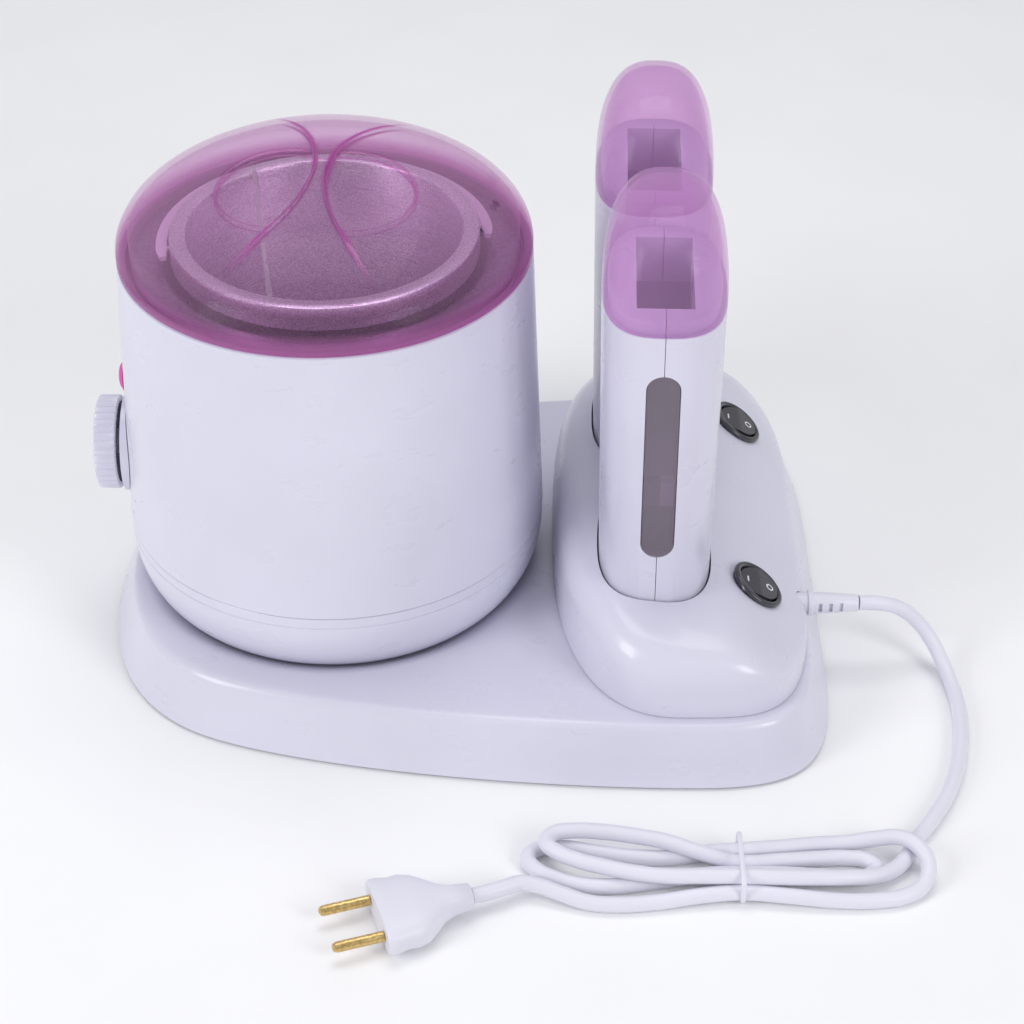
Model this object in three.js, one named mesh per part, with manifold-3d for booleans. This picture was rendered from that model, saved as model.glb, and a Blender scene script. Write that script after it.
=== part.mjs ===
// Wax heating unit: one round wax pot and two roll-on cartridge heaters in a dock, on a common base.
// Millimetres, +Z up, feet on Z = 0. X runs from the pot to the dock, -Y is the front.

import * as THREE from 'three';
import { mergeVertices } from 'three/addons/utils/BufferGeometryUtils.js';
import Module from 'manifold-3d';

const wasm = await Module();
wasm.setup();

// ---------------------------------------------------------------- driving dimensions

const DEGREE = Math.PI / 180;
const GAP = 0.3;

// base
const BASE_LEFT = -146.4;
const BASE_RIGHT = 146.2;
const BASE_HALF_DEPTH = 122.8;
const BASE_SKIRT_Z = 1;
const BASE_TOP_Z = 25;
const BASE_WALL = 2.6;
const DISH = { flat: 66, radius: 83, floorZ: 18.7 };
const COVER_Z = 3.2;
const COVER_THICKNESS = 2.5;
const FOOT_SPOTS = [[-100, -62], [-100, 62], [112, -96], [112, 96]];
const SCREW_SPOTS = [[-118, -36], [-118, 36], [128, -60], [128, 60]];

// dock
const DOCK_X = 85.7;
const DOCK_HALF_LEFT = 50.2;
const DOCK_HALF_RIGHT = 51.8;
const DOCK_HALF_Y = 109;
const DOCK_WALL = 2.6;
const DOCK_FOOT_Z = BASE_TOP_Z + GAP;
const SWITCH_TILT = 35.6 * DEGREE;
const SWITCH_SPOT = { x: 115.3, y: 57, z: 48.9 };
const SOCKET_FLOOR_Z = 30;

// cartridge heaters
const HANDPIECE_X = 75;
const HANDPIECE_Y = 43.5;
const HANDPIECE_FOOT_Z = 30.3;
const HANDPIECE_RIM_Z = 179;
const HANDPIECE_TOP_Z = 184.4;
const HANDPIECE_POWER = 2.8;
const HANDPIECE_TURN = -2 * DEGREE;
const SLOT_HALF_X = 10.6;
const SLOT_HALF_Y = 25.5;
const CAP_HEIGHT = 42.4;
const CAP_WALL = 1.8;

// pot
const POT_X = -53;
const POT_RIM_RADIUS = 80;
const POT_RIM_Z = 170;
const POT_SEAM_RADIUS = 84.3;
const POT_SEAM_Z = 53.5;
const POT_FLOOR_Z = 19.5;
const POT_WALL = 2.5;
const BOSS_TOP_Z = 19.2;
const KNOB_Z = 79;
const KNOB_RADIUS = 19;
const KNOB_BACK_X = -139.5;
const KNOB_DEPTH = 9;
const LAMP_Z = 111;

// liner and lid
const LINER_TURN = 8 * DEGREE;
const LINER_FLOOR_Z = 103.3;
const LINER_TOP_Z = 178.6;
const LINER_RIM_RADIUS = 59.5;
const WIPER_X = -24;
const HANDLE_Z = 174;
const LID_TURN = -5.5 * DEGREE;
const LID_FOOT_Z = POT_RIM_Z + GAP;
const LID_SHOULDER_Z = 173.4;
const LID_RISE = 33.5;
const LID_WALL = 2.3;

// mains cord
const CORD_DIAMETER = 6;
const CORD_EXIT = { x: 137.5, y: -45, z: 31 };
const RELIEF_COLLAR_X = 126;
const RELIEF_END_X = 158;
const HANK = { left: 21, right: 176, middle: -171, endRadius: 19, waistHalf: 14, waistX: 103 };
const HANK_FLOOR_Z = 1.4;
const HANK_TOP_Z = 12;
const PLUG_NECK = { x: 4, y: -186.5, z: 7 };
const PLUG_TURN = 198 * DEGREE;
const CORD_ROUTE = [
  [RELIEF_END_X + GAP, -45, 31],
  [167, -44.5, 30.3],
  [175.5, -43, 26.6],
  [183, -42.8, 20],
  [189, -45.5, 12.6],
  [193.2, -52, 6.6],
  [195.8, -62, 3.6],
  [196.9, -75.4, 3.05],
  [195.8, -90.6, 3.05],
  [193.2, -105.3, 3.05],
  [189.6, -118, 3.05],
  [184.2, -130.8, 3.05],
  [177.6, -142.1, 3.05],
  [168.9, -155.4, 3.05],
];
const TAIL_ROUTE = [
  [22.2, -179.3, 6.6],
  [16.5, -181.9, 7],
  [10.5, -184.3, 7],
  [4.3, -186.4, 7],
];

// ---------------------------------------------------------------- finishes

function finish(color, roughness, metalness = 0) {
  return new THREE.MeshStandardMaterial({ color, roughness, metalness });
}

const FINISH = {
  shell: finish('#dddcf0', 0.3),
  inner: finish('#c9c8da', 0.5),
  smoke: finish('#6b5a66', 0.35, 0.6),
  pink: finish('#d79ad2', 0.12),
  lens: finish('#b9a6bd', 0.15),
  liner: finish('#cfc4d2', 0.3, 0.9),
  steel: finish('#b9b9be', 0.3, 1),
  brass: finish('#c9a24d', 0.3, 1),
  black: finish('#3c3b43', 0.35),
  rubber: finish('#5a5a60', 0.8),
  ceramic: finish('#d9d2c6', 0.6),
  cord: finish('#e5e4ee', 0.45),
};

// ---------------------------------------------------------------- solids

function signedVolume(geometry) {
  const corner = [new THREE.Vector3(), new THREE.Vector3(), new THREE.Vector3()];
  const index = geometry.index.array;
  let total = 0;
  for (let i = 0; i < index.length; i += 3) {
    corner.forEach((point, k) => point.fromBufferAttribute(geometry.attributes.position, index[i + k]));
    total += corner[0].dot(corner[1].clone().cross(corner[2])) / 6;
  }
  return total;
}

// A closed body: shared corners merged, collapsed triangles dropped, faces pointing out.
function closed(geometry) {
  const bare = new THREE.BufferGeometry();
  bare.setAttribute('position', geometry.attributes.position.clone());
  if (geometry.index) bare.setIndex(geometry.index.clone());
  const merged = mergeVertices(bare, 1e-4);
  const index = merged.index.array;
  const kept = [];
  for (let i = 0; i < index.length; i += 3) {
    const [a, b, c] = [index[i], index[i + 1], index[i + 2]];
    if (a !== b && b !== c && c !== a) kept.push(a, b, c);
  }
  merged.setIndex(kept);
  if (signedVolume(merged) < 0) merged.setIndex(kept.reverse());
  return merged;
}

function toSolid(geometry) {
  const body = closed(geometry);
  return new wasm.Manifold(new wasm.Mesh({
    numProp: 3,
    vertProperties: new Float32Array(body.attributes.position.array),
    triVerts: new Uint32Array(body.index.array),
  }));
}

function toGeometry(solid) {
  const mesh = solid.getMesh();
  const geometry = new THREE.BufferGeometry();
  geometry.setAttribute('position', new THREE.BufferAttribute(mesh.vertProperties, 3));
  geometry.setIndex(new THREE.BufferAttribute(mesh.triVerts, 1));
  return geometry;
}

function cut(geometry, ...tools) {
  return toGeometry(tools.reduce((solid, tool) => solid.subtract(toSolid(tool)), toSolid(geometry)));
}

function join(geometry, ...others) {
  return toGeometry(others.reduce((solid, other) => solid.add(toSolid(other)), toSolid(geometry)));
}

function common(geometry, other) {
  return toGeometry(toSolid(geometry).intersect(toSolid(other)));
}

// Skin through rings of equal point count, with a fan over the first and the last ring.
function loft(rings) {
  const count = rings[0].length;
  const positions = rings.flat().flatMap((point) => point.toArray());
  const index = [];
  for (let ring = 0; ring + 1 < rings.length; ring += 1) {
    for (let i = 0; i < count; i += 1) {
      const next = (i + 1) % count;
      const low = ring * count;
      const high = low + count;
      index.push(low + i, low + next, high + next, low + i, high + next, high + i);
    }
  }
  for (const [ring, first, second] of [[0, 1, 0], [rings.length - 1, 0, 1]]) {
    const centre = new THREE.Vector3();
    rings[ring].forEach((point) => centre.addScaledVector(point, 1 / count));
    const hub = positions.length / 3;
    positions.push(...centre.toArray());
    for (let i = 0; i < count; i += 1) {
      index.push(hub, ring * count + ((i + first) % count), ring * count + ((i + second) % count));
    }
  }
  const geometry = new THREE.BufferGeometry();
  geometry.setAttribute('position', new THREE.Float32BufferAttribute(positions, 3));
  geometry.setIndex(index);
  return geometry;
}

// Turned body about Z from [radius, height] pairs that start and end on the axis, or a closed ring.
function turned(profile, segments = 36) {
  const points = profile.map(([radius, height]) => new THREE.Vector2(radius, height));
  const onAxis = profile[0][0] === 0 && profile.at(-1)[0] === 0;
  if (!onAxis) points.push(points[0].clone());
  return new THREE.LatheGeometry(points, segments).rotateX(Math.PI / 2);
}

function prism(shape, low, high, curveSegments = 8) {
  const options = { depth: high - low, bevelEnabled: false, curveSegments };
  return new THREE.ExtrudeGeometry(shape, options).translate(0, 0, low);
}

function block(low, high) {
  const size = high.map((value, axis) => value - low[axis]);
  const centre = high.map((value, axis) => (value + low[axis]) / 2);
  return new THREE.BoxGeometry(...size).translate(...centre);
}

function rod(from, to, radius, sides = 16) {
  const start = new THREE.Vector3(...from);
  const along = new THREE.Vector3(...to).sub(start);
  const turn = new THREE.Quaternion().setFromUnitVectors(new THREE.Vector3(0, 1, 0), along.clone().normalize());
  const middle = start.addScaledVector(along, 0.5);
  return new THREE.CylinderGeometry(radius, radius, along.length(), sides)
    .applyQuaternion(turn)
    .translate(middle.x, middle.y, middle.z);
}

function tube(route, diameter, sides, steps) {
  const section = new THREE.Shape(ellipse(diameter / 2, diameter / 2, 2, sides));
  const extrudePath = new THREE.CatmullRomCurve3(route.map((point) => new THREE.Vector3(...point)), false, 'centripetal');
  return new THREE.ExtrudeGeometry(section, { extrudePath, steps, bevelEnabled: false });
}

// ---------------------------------------------------------------- outlines

function signedPower(value, power) {
  return Math.sign(value) * Math.abs(value) ** power;
}

// Superellipse with half widths a and b; power 2 is a true ellipse.
function ellipse(a, b, power, count) {
  const points = [];
  for (let i = 0; i < count; i += 1) {
    const angle = (i / count) * 2 * Math.PI;
    points.push(new THREE.Vector2(
      a * signedPower(Math.cos(angle), 2 / power),
      b * signedPower(Math.sin(angle), 2 / power),
    ));
  }
  return points;
}

function ringAt(points, z) {
  return points.map((point) => new THREE.Vector3(point.x, point.y, z));
}

// The closed outline moved inwards, along the normal at each of its points.
function inset(points, distance) {
  return points.map((point, i) => {
    const before = points.at(i - 1);
    const after = points[(i + 1) % points.length];
    const along = after.clone().sub(before).normalize();
    return new THREE.Vector2(point.x - along.y * distance, point.y + along.x * distance);
  });
}

function baseOutline() {
  const front = new THREE.Path();
  front.moveTo(BASE_LEFT, 0);
  front.bezierCurveTo(BASE_LEFT, -40, -135.5, -78, -98, -94.2);
  front.bezierCurveTo(-62, -110, 20, -BASE_HALF_DEPTH, 91, -BASE_HALF_DEPTH);
  front.bezierCurveTo(151, -BASE_HALF_DEPTH, BASE_RIGHT, -92, BASE_RIGHT, 0);
  const half = front.getSpacedPoints(24);
  const back = half.slice(1, -1).reverse().map((point) => new THREE.Vector2(point.x, -point.y));
  return [...half, ...back];
}

// ---------------------------------------------------------------- assembly

const unit = new THREE.Group();
const pot = new THREE.Group();
pot.position.x = POT_X;
unit.add(pot);

function addPart(parent, name, geometry, material) {
  const mesh = new THREE.Mesh(closed(geometry), material);
  mesh.name = name;
  parent.add(mesh);
}

// ---------------------------------------------------------------- base

// Round body that fills the dish under the pot, lowered by drop and widened by extra.
function dishFilling(drop, extra) {
  const slope = [0, 0.35, 0.65, 1].map((share) => [
    DISH.flat + (DISH.radius - DISH.flat) * share + extra,
    DISH.floorZ + (BASE_TOP_Z - DISH.floorZ) * THREE.MathUtils.smoothstep(share, 0, 1) - drop,
  ]);
  const top = BASE_TOP_Z + 5;
  return turned([[0, DISH.floorZ - drop], ...slope, [DISH.radius + extra, top], [0, top]]).translate(POT_X, 0, 0);
}

function baseShell() {
  const outline = baseOutline();
  const skin = (levels) => loft(levels.map(([distance, z]) => ringAt(inset(outline, distance), z)));
  const outer = skin([[0, BASE_SKIRT_Z], [3.6, 11], [7.2, 21], [8.3, 23.6], [9.4, 24.7], [10.8, BASE_TOP_Z]]);
  const hollow = skin([[BASE_WALL, 0], [BASE_WALL + 7.2, 20.6], [BASE_WALL + 9.4, BASE_TOP_Z - BASE_WALL]]);
  const shell = cut(outer, cut(hollow, dishFilling(BASE_WALL, 2)));
  const posts = SCREW_SPOTS.map(([x, y]) => rod([x, y, 6.2], [x, y, 22.6], 4.2));
  const boss = rod([POT_X, 0, DISH.floorZ - 1], [POT_X, 0, BOSS_TOP_Z], 30, 24);
  const bores = SCREW_SPOTS.map(([x, y]) => rod([x, y, 5], [x, y, 15], 1.8, 12));
  const potBores = potScrewSpots().map(([x, y]) => rod([POT_X + x, y, 10], [POT_X + x, y, 30], 1.9, 12));
  const wireHole = rod([POT_X, 0, 10], [POT_X, 0, 30], 8);
  const dockWireHole = block([98, -9, 20], [114, 9, 30]);
  return cut(join(cut(join(shell, ...posts), dishFilling(0, 0)), boss), ...bores, ...potBores, wireHole, dockWireHole);
}

function bottomCover() {
  const shape = new THREE.Shape(inset(baseOutline(), 5.1));
  const plate = prism(shape, COVER_Z, COVER_Z + COVER_THICKNESS);
  const holes = SCREW_SPOTS.map(([x, y]) => rod([x, y, 0], [x, y, 9], 2, 12));
  const vents = [-4, -3, -2, -1, 0, 1, 2, 3, 4].map((i) => {
    const x = POT_X + i * 9;
    return block([x - 1.5, -24, 0], [x + 1.5, 24, 9]);
  });
  return cut(plate, ...holes, ...vents);
}

function screw(headRadius, headZ, shaftZ, topZ) {
  const drive = block([-headRadius * 0.6, -0.5, headZ - 1], [headRadius * 0.6, 0.5, headZ + 0.8]);
  const body = turned([[0, headZ], [headRadius, headZ], [headRadius, shaftZ], [1.5, shaftZ], [1.5, topZ], [0, topZ]], 12);
  return cut(body, drive);
}

function addBase() {
  addPart(unit, 'base_shell', baseShell(), FINISH.shell);
  addPart(unit, 'bottom_cover', bottomCover(), FINISH.shell);
  const foot = turned([[0, 0], [7.2, 0], [8, 0.8], [8, COVER_Z - GAP], [0, COVER_Z - GAP]], 20);
  FOOT_SPOTS.forEach(([x, y], i) => {
    addPart(unit, `foot_${i + 1}`, foot.clone().translate(x, y, 0), FINISH.rubber);
  });
  const baseScrew = screw(3.6, 1.1, COVER_Z - GAP, 13);
  SCREW_SPOTS.forEach(([x, y], i) => {
    addPart(unit, `base_screw_${i + 1}`, baseScrew.clone().translate(x, y, 0), FINISH.steel);
  });
  const terminals = join(
    block([97, -10, 6.2], [115, 10, 15]),
    ...[-6.5, 0, 6.5].map((y) => rod([106, y, 14], [106, y, 18.5], 2.6, 12)),
  );
  addPart(unit, 'terminal_block', terminals, FINISH.inner);
}

// ---------------------------------------------------------------- dock

// Height of the dock's top: a gently sloping deck that breaks into the steeper switch panel.
function dockTop(x) {
  const deck = 64 - 0.155 * (x - 47);
  const panel = SWITCH_SPOT.z - Math.tan(SWITCH_TILT) * (x - SWITCH_SPOT.x);
  return Math.min(deck, panel);
}

// One ring of the dock's skin; share is 1 at the foot and falls to 0 at the crown.
function dockRing(share, wall, count) {
  const ring = [];
  for (let i = 0; i < count; i += 1) {
    const angle = (i / count) * 2 * Math.PI;
    const [power, halfX] = Math.cos(angle) < 0 ? [2.5, DOCK_HALF_LEFT] : [3.9, DOCK_HALF_RIGHT];
    const x = DOCK_X + (halfX - wall) * share * signedPower(Math.cos(angle), 2 / power);
    const y = (DOCK_HALF_Y - wall) * share * signedPower(Math.sin(angle), 2 / power);
    const crown = 5 + 4 * THREE.MathUtils.smoothstep(Math.cos(angle), -0.2, 0.6);
    const rise = (1 - share ** crown) ** (1 / crown);
    ring.push(new THREE.Vector3(x, y, DOCK_FOOT_Z + (dockTop(x) - wall - DOCK_FOOT_Z) * rise));
  }
  return ring;
}

function dockSkin(wall, shares, count) {
  return loft(shares.map((share) => dockRing(share, wall, count)));
}

function socketPrism(y, clearance, low, high) {
  const section = ellipse(22.1 + clearance, 34.6 + clearance, HANDPIECE_POWER, 32);
  return prism(new THREE.Shape(section), low, high).rotateZ(HANDPIECE_TURN).translate(HANDPIECE_X, y, 0);
}

// A disc square to the switch panel, from depth low to depth high below (-) or above (+) its face.
function panelDisc(y, radius, low, high, sides) {
  return rod([0, 0, low], [0, 0, high], radius, sides)
    .rotateY(SWITCH_TILT)
    .translate(SWITCH_SPOT.x, y, SWITCH_SPOT.z);
}

function dockHousing() {
  const outer = dockSkin(0, [1, 0.9993, 0.99, 0.96, 0.9, 0.78, 0.5], 40);
  const hollow = dockSkin(DOCK_WALL, [1, 0.99, 0.93, 0.75], 24);
  const openFoot = hollow.clone().translate(0, 0, -4);
  let housing = cut(outer, hollow, openFoot);
  for (const side of [-1, 1]) {
    const y = side * HANDPIECE_Y;
    const wall = common(outer, socketPrism(y, 2.7, SOCKET_FLOOR_Z - 2, 80));
    const seat = panelDisc(side * SWITCH_SPOT.y, 12.6, -6, 0, 20);
    housing = join(housing, wall, seat);
    housing = cut(
      housing,
      socketPrism(y, 0.5, SOCKET_FLOOR_Z, 80),
      panelDisc(side * SWITCH_SPOT.y, 10.6, -9, 5, 20),
      block([HANDPIECE_X - 5, y - 3, 20], [HANDPIECE_X + 5, y + 3, SOCKET_FLOOR_Z + 1]),
    );
  }
  return cut(housing, rod([CORD_EXIT.x - 12, CORD_EXIT.y, CORD_EXIT.z], [CORD_EXIT.x + 8, CORD_EXIT.y, CORD_EXIT.z], 4.6));
}

function switchBody() {
  const flange = turned([[9.4, 0.3], [11.6, 0.3], [11.6, 1.2], [10.9, 2], [9.4, 2]], 20);
  const barrel = turned([[0, -12], [10.3, -12], [10.3, 0.8], [9.4, 0.8], [9.4, -4.6], [0, -4.6]], 20);
  const blades = [-4, 4].map((x) => block([x - 0.4, -3.1, -19], [x + 0.4, 3.1, -11]));
  return join(barrel, flange, ...blades);
}

// Rocker with two facets that meet in a low ridge, pressed down on its left half.
function rocker() {
  const half = 8.6;
  const shape = new THREE.Shape();
  shape.moveTo(-half, -3.2);
  shape.lineTo(half, -3.2);
  shape.lineTo(half, 1.2);
  shape.lineTo(0, 2.4);
  shape.lineTo(-half, 1.2);
  shape.closePath();
  const roof = prism(shape, -half, half).rotateX(Math.PI / 2).rotateY(-8 * DEGREE);
  return common(roof, rod([0, 0, -8], [0, 0, 8], half, 20));
}

function addDock() {
  addPart(unit, 'dock_housing', dockHousing(), FINISH.shell);
  for (const [side, name] of [[-1, 'front'], [1, 'back']]) {
    const y = side * HANDPIECE_Y;
    const contact = block([HANDPIECE_X - 4.7, y - 2.7, 26], [HANDPIECE_X + 4.7, y + 2.7, SOCKET_FLOOR_Z + 0.1]);
    addPart(unit, `socket_contact_${name}`, contact, FINISH.brass);
    const seat = new THREE.Group();
    seat.position.set(SWITCH_SPOT.x, side * SWITCH_SPOT.y, SWITCH_SPOT.z);
    seat.rotation.y = SWITCH_TILT;
    unit.add(seat);
    addPart(seat, `switch_body_${name}`, switchBody(), FINISH.black);
    addPart(seat, `rocker_${name}`, rocker(), FINISH.black);
  }
}

// ---------------------------------------------------------------- pot

function potRadius(z) {
  const share = (z - POT_SEAM_Z) / (POT_RIM_Z - POT_SEAM_Z);
  return POT_SEAM_RADIUS + (POT_RIM_RADIUS - POT_SEAM_RADIUS) * share;
}

function potScrewSpots() {
  return [30, 150, 270].map((angle) => [20 * Math.cos(angle * DEGREE), 20 * Math.sin(angle * DEGREE)]);
}

function potShell() {
  const shell = turned([
    [POT_SEAM_RADIUS, POT_SEAM_Z],
    [80.1, POT_RIM_Z - 1],
    [79.2, POT_RIM_Z],
    [77.5, POT_RIM_Z],
    [77.5, 165.5],
    [70, 165.5],
    [70, 163],
    [77.7, 163],
    [POT_SEAM_RADIUS - POT_WALL, POT_SEAM_Z],
  ]);
  const lampHole = rod([-90, 0, LAMP_Z], [-70, 0, LAMP_Z], 5.3);
  const spindleHole = rod([-90, 0, KNOB_Z], [-70, 0, KNOB_Z], 6);
  return cut(shell, lampHole, spindleHole);
}

// Quarter ellipse from the wall at the top of the rounding to the flat floor.
function potRounding(offset) {
  const centre = { r: 65, z: 47.5 };
  return [0, 30, 60, 90].map((angle) => [
    centre.r + (POT_SEAM_RADIUS - 0.2 - centre.r - offset) * Math.cos(angle * DEGREE),
    centre.z - (centre.z - POT_FLOOR_Z - offset) * Math.sin(angle * DEGREE),
  ]);
}

function potBottomCap() {
  const top = POT_SEAM_Z - GAP;
  const cap = turned([
    [14, POT_FLOOR_Z],
    ...potRounding(0).reverse(),
    [POT_SEAM_RADIUS - 0.2, top],
    [POT_SEAM_RADIUS - 0.2 - POT_WALL, top],
    ...potRounding(POT_WALL),
    [14, POT_FLOOR_Z + POT_WALL],
  ]);
  return cut(cap, ...potScrewSpots().map(([x, y]) => rod([x, y, 10], [x, y, 40], 1.9, 12)));
}

function wellRadius(z) {
  return 59 + ((z - 101) / 64.8) * 4.2;
}

function heatingWell() {
  return turned([
    [0, 101],
    [59, 101],
    [wellRadius(165.8), 165.8],
    [76.5, 165.8],
    [76.5, 167.3],
    [62.2, 167.3],
    [61.4, 166],
    [57.4, 103],
    [0, 103],
  ]);
}

function temperatureKnob() {
  const ribs = 36;
  const outline = [];
  for (let i = 0; i < ribs; i += 1) {
    for (const [share, radius] of [[0, KNOB_RADIUS - 0.9], [0.5, KNOB_RADIUS]]) {
      const angle = ((i + share) / ribs) * 2 * Math.PI;
      outline.push(new THREE.Vector2(radius * Math.cos(angle), radius * Math.sin(angle)));
    }
  }
  const disc = prism(new THREE.Shape(outline), 0, KNOB_DEPTH);
  const hollow = turned([[5.2, -1], [16.4, -1], [16.4, 6.6], [5.2, 6.6]], 24);
  const bore = rod([0, 0, -1], [0, 0, 6.8], 3.3);
  return cut(disc, hollow, bore);
}

function knobDial() {
  const disc = rod([-76, 0, KNOB_Z], [-84.6, 0, KNOB_Z], 19.8, 32);
  const wall = turned([
    [0, POT_SEAM_Z],
    [POT_SEAM_RADIUS + GAP, POT_SEAM_Z],
    [potRadius(POT_RIM_Z) + GAP, POT_RIM_Z],
    [0, POT_RIM_Z],
  ]);
  return cut(disc, wall, rod([-70, 0, KNOB_Z], [-90, 0, KNOB_Z], 6.2));
}

function potThermostat() {
  const body = block([-78, -15, KNOB_Z - 15], [-60, 15, KNOB_Z + 15]);
  const bush = rod([-77, 0, KNOB_Z], [-84.2, 0, KNOB_Z], 5.6);
  return cut(join(body, bush), rod([-66, 0, KNOB_Z], [-90, 0, KNOB_Z], 3.3));
}

function indicatorLamp() {
  const seat = potRadius(LAMP_Z) + 0.35;
  const dome = [[0, 2.3], [3, 2], [5, 1.2], [6.3, 0.3], [6.3, 0]];
  return turned([...dome, [5, 0], [5, -9], [0, -9]], 20)
    .rotateY(-Math.PI / 2)
    .translate(-seat, 0, LAMP_Z);
}

function addPot() {
  addPart(pot, 'pot_shell', potShell(), FINISH.shell);
  addPart(pot, 'pot_bottom_cap', potBottomCap(), FINISH.shell);
  const potScrew = screw(3.2, 13.6, DISH.floorZ - BASE_WALL - GAP, 30);
  potScrewSpots().forEach(([x, y], i) => {
    addPart(pot, `pot_screw_${i + 1}`, potScrew.clone().translate(x, y, 0), FINISH.steel);
  });
  addPart(pot, 'heating_well', heatingWell(), FINISH.smoke);
  const [low, high] = [112, 142];
  const band = turned([
    [wellRadius(low) + 0.5, low],
    [wellRadius(low) + 3.5, low],
    [wellRadius(high) + 3.5, high],
    [wellRadius(high) + 0.5, high],
  ]);
  addPart(pot, 'heater_band', band, FINISH.steel);
  addPart(pot, 'pot_thermostat', potThermostat(), FINISH.ceramic);
  const cutOut = join(rod([0, 0, 92], [0, 0, 100.7], 8), block([-9, -3, 87], [-8.2, 3, 96]), block([-8.6, -3, 93], [-6, 3, 95]));
  addPart(pot, 'thermal_fuse', cutOut, FINISH.ceramic);
  addPart(pot, 'thermostat_spindle', rod([-66.4, 0, KNOB_Z], [KNOB_BACK_X - POT_X - 6.4, 0, KNOB_Z], 3), FINISH.steel);
  addPart(pot, 'knob_dial', knobDial(), FINISH.shell);
  addPart(pot, 'indicator_lamp', indicatorLamp(), FINISH.pink);
  const knob = new THREE.Group();
  knob.position.set(KNOB_BACK_X - POT_X, 0, KNOB_Z);
  knob.rotation.y = -Math.PI / 2;
  pot.add(knob);
  addPart(knob, 'temperature_knob', temperatureKnob(), FINISH.shell);
}

// ---------------------------------------------------------------- liner

function waxLiner() {
  const skirt = LINER_RIM_RADIUS - 1.6;
  const liner = turned([
    [0, LINER_FLOOR_Z],
    [50, LINER_FLOOR_Z],
    [52, LINER_FLOOR_Z + 2],
    [55, 176.4],
    [skirt, 176.4],
    [skirt, 169.2],
    [LINER_RIM_RADIUS, 169.2],
    [LINER_RIM_RADIUS, LINER_TOP_Z - 1],
    [LINER_RIM_RADIUS - 1, LINER_TOP_Z],
    [53.9, LINER_TOP_Z],
    [52.9, LINER_TOP_Z - 1],
    [49.5, LINER_FLOOR_Z + 3],
    [48.5, LINER_FLOOR_Z + 2],
    [0, LINER_FLOOR_Z + 2],
  ]);
  const grooves = [-1, 1].map((side) => rod([WIPER_X, side * 46, 177.6], [WIPER_X, side * 52.8, 177.6], 1.5, 12));
  const pivots = [-1, 1].map((side) => rod([side * 57, 0, HANDLE_Z], [side * 61, 0, HANDLE_Z], 1.4, 12));
  return cut(liner, ...grooves, ...pivots);
}

function linerHandle() {
  const [inner, outer, overhang] = [60.3, 64.7, 7 * DEGREE];
  const middle = (inner + outer) / 2;
  const band = new THREE.Shape();
  band.absarc(0, 0, outer, -overhang, Math.PI + overhang, false);
  const left = Math.PI + overhang;
  band.absarc(middle * Math.cos(left), middle * Math.sin(left), (outer - inner) / 2, left, left + Math.PI, false);
  band.absarc(0, 0, inner, left, -overhang, true);
  const right = -overhang;
  band.absarc(middle * Math.cos(right), middle * Math.sin(right), (outer - inner) / 2, right + Math.PI, right + 2 * Math.PI, false);
  const pins = [-1, 1].map((side) => rod([side * 58.3, 0, HANDLE_Z], [side * 61.5, 0, HANDLE_Z], 0.9, 10));
  return join(prism(band, HANDLE_Z - 1, HANDLE_Z + 1, 10), ...pins);
}

function addLiner() {
  const group = new THREE.Group();
  group.rotation.z = LINER_TURN;
  pot.add(group);
  addPart(group, 'wax_liner', waxLiner(), FINISH.liner);
  addPart(group, 'wiper_bar', rod([WIPER_X, -52.4, 177.6], [WIPER_X, 52.4, 177.6], 1.15, 12), FINISH.steel);
  addPart(group, 'liner_handle', linerHandle(), FINISH.pink);
}

// ---------------------------------------------------------------- lid

// How far the dome is scooped away beside the grip ridge, in the lid's own frame.
function lidScoop(x, y) {
  const beyond = Math.abs(x) - (2.6 + (y + 4) ** 2 / 128);
  if (beyond <= 0) return 0;
  const dish = 1 - Math.hypot(Math.abs(x) - 12, y + 15) ** 2 / 26 ** 2;
  const fade = 1 - ((y + 4) / 56) ** 2;
  const shallow = 1.1 * Math.max(0, fade) * Math.exp(-beyond / 8);
  return (7 * Math.max(0, dish) ** 0.8 + shallow) * (1 - Math.exp(-beyond / 1.5));
}

// Ring of the dome at a polar angle from the crown, for the outer or the inner skin.
function lidRing(angle, radius, rise, count) {
  const ring = [];
  for (let i = 0; i < count; i += 1) {
    const turn = (i / count) * 2 * Math.PI;
    const x = radius * Math.sin(angle) * Math.cos(turn);
    const y = radius * Math.sin(angle) * Math.sin(turn);
    ring.push(new THREE.Vector3(x, y, LID_SHOULDER_Z + rise * Math.cos(angle) - lidScoop(x, y)));
  }
  return ring;
}

function lid() {
  const count = 32;
  const lipRadius = 74.8;
  const innerRadius = POT_RIM_RADIUS - LID_WALL - 0.1;
  const innerRise = LID_RISE - LID_WALL;
  const lipAngle = Math.asin(lipRadius / innerRadius) / DEGREE;
  const inside = [4, 12, 20, 28, 38, 54, lipAngle];
  const outside = [90, 75, 60, 46, 35, 27, 19, 11, 4];
  const foot = [[lipRadius, 168], [76.4, 168], [76.4, LID_FOOT_Z], [POT_RIM_RADIUS, LID_FOOT_Z]];
  const shell = loft([
    ...inside.map((angle) => lidRing(angle * DEGREE, innerRadius, innerRise, count)),
    ...foot.map(([radius, z]) => ringAt(ellipse(radius, radius, 2, count), z)),
    ...outside.map((angle) => lidRing(angle * DEGREE, POT_RIM_RADIUS, LID_RISE, count)),
  ]);
  const vents = [17, 0, -17].map((angle) => {
    const [c, s] = [Math.cos(angle * DEGREE), Math.sin(angle * DEGREE)];
    return rod([58 * c, 58 * s, 182], [74 * c, 74 * s, 202], 2, 12);
  });
  return cut(shell, ...vents);
}

function addLid() {
  const group = new THREE.Group();
  group.rotation.z = LID_TURN;
  pot.add(group);
  addPart(group, 'lid', lid(), FINISH.pink);
}

// ---------------------------------------------------------------- cartridge heaters

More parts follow.
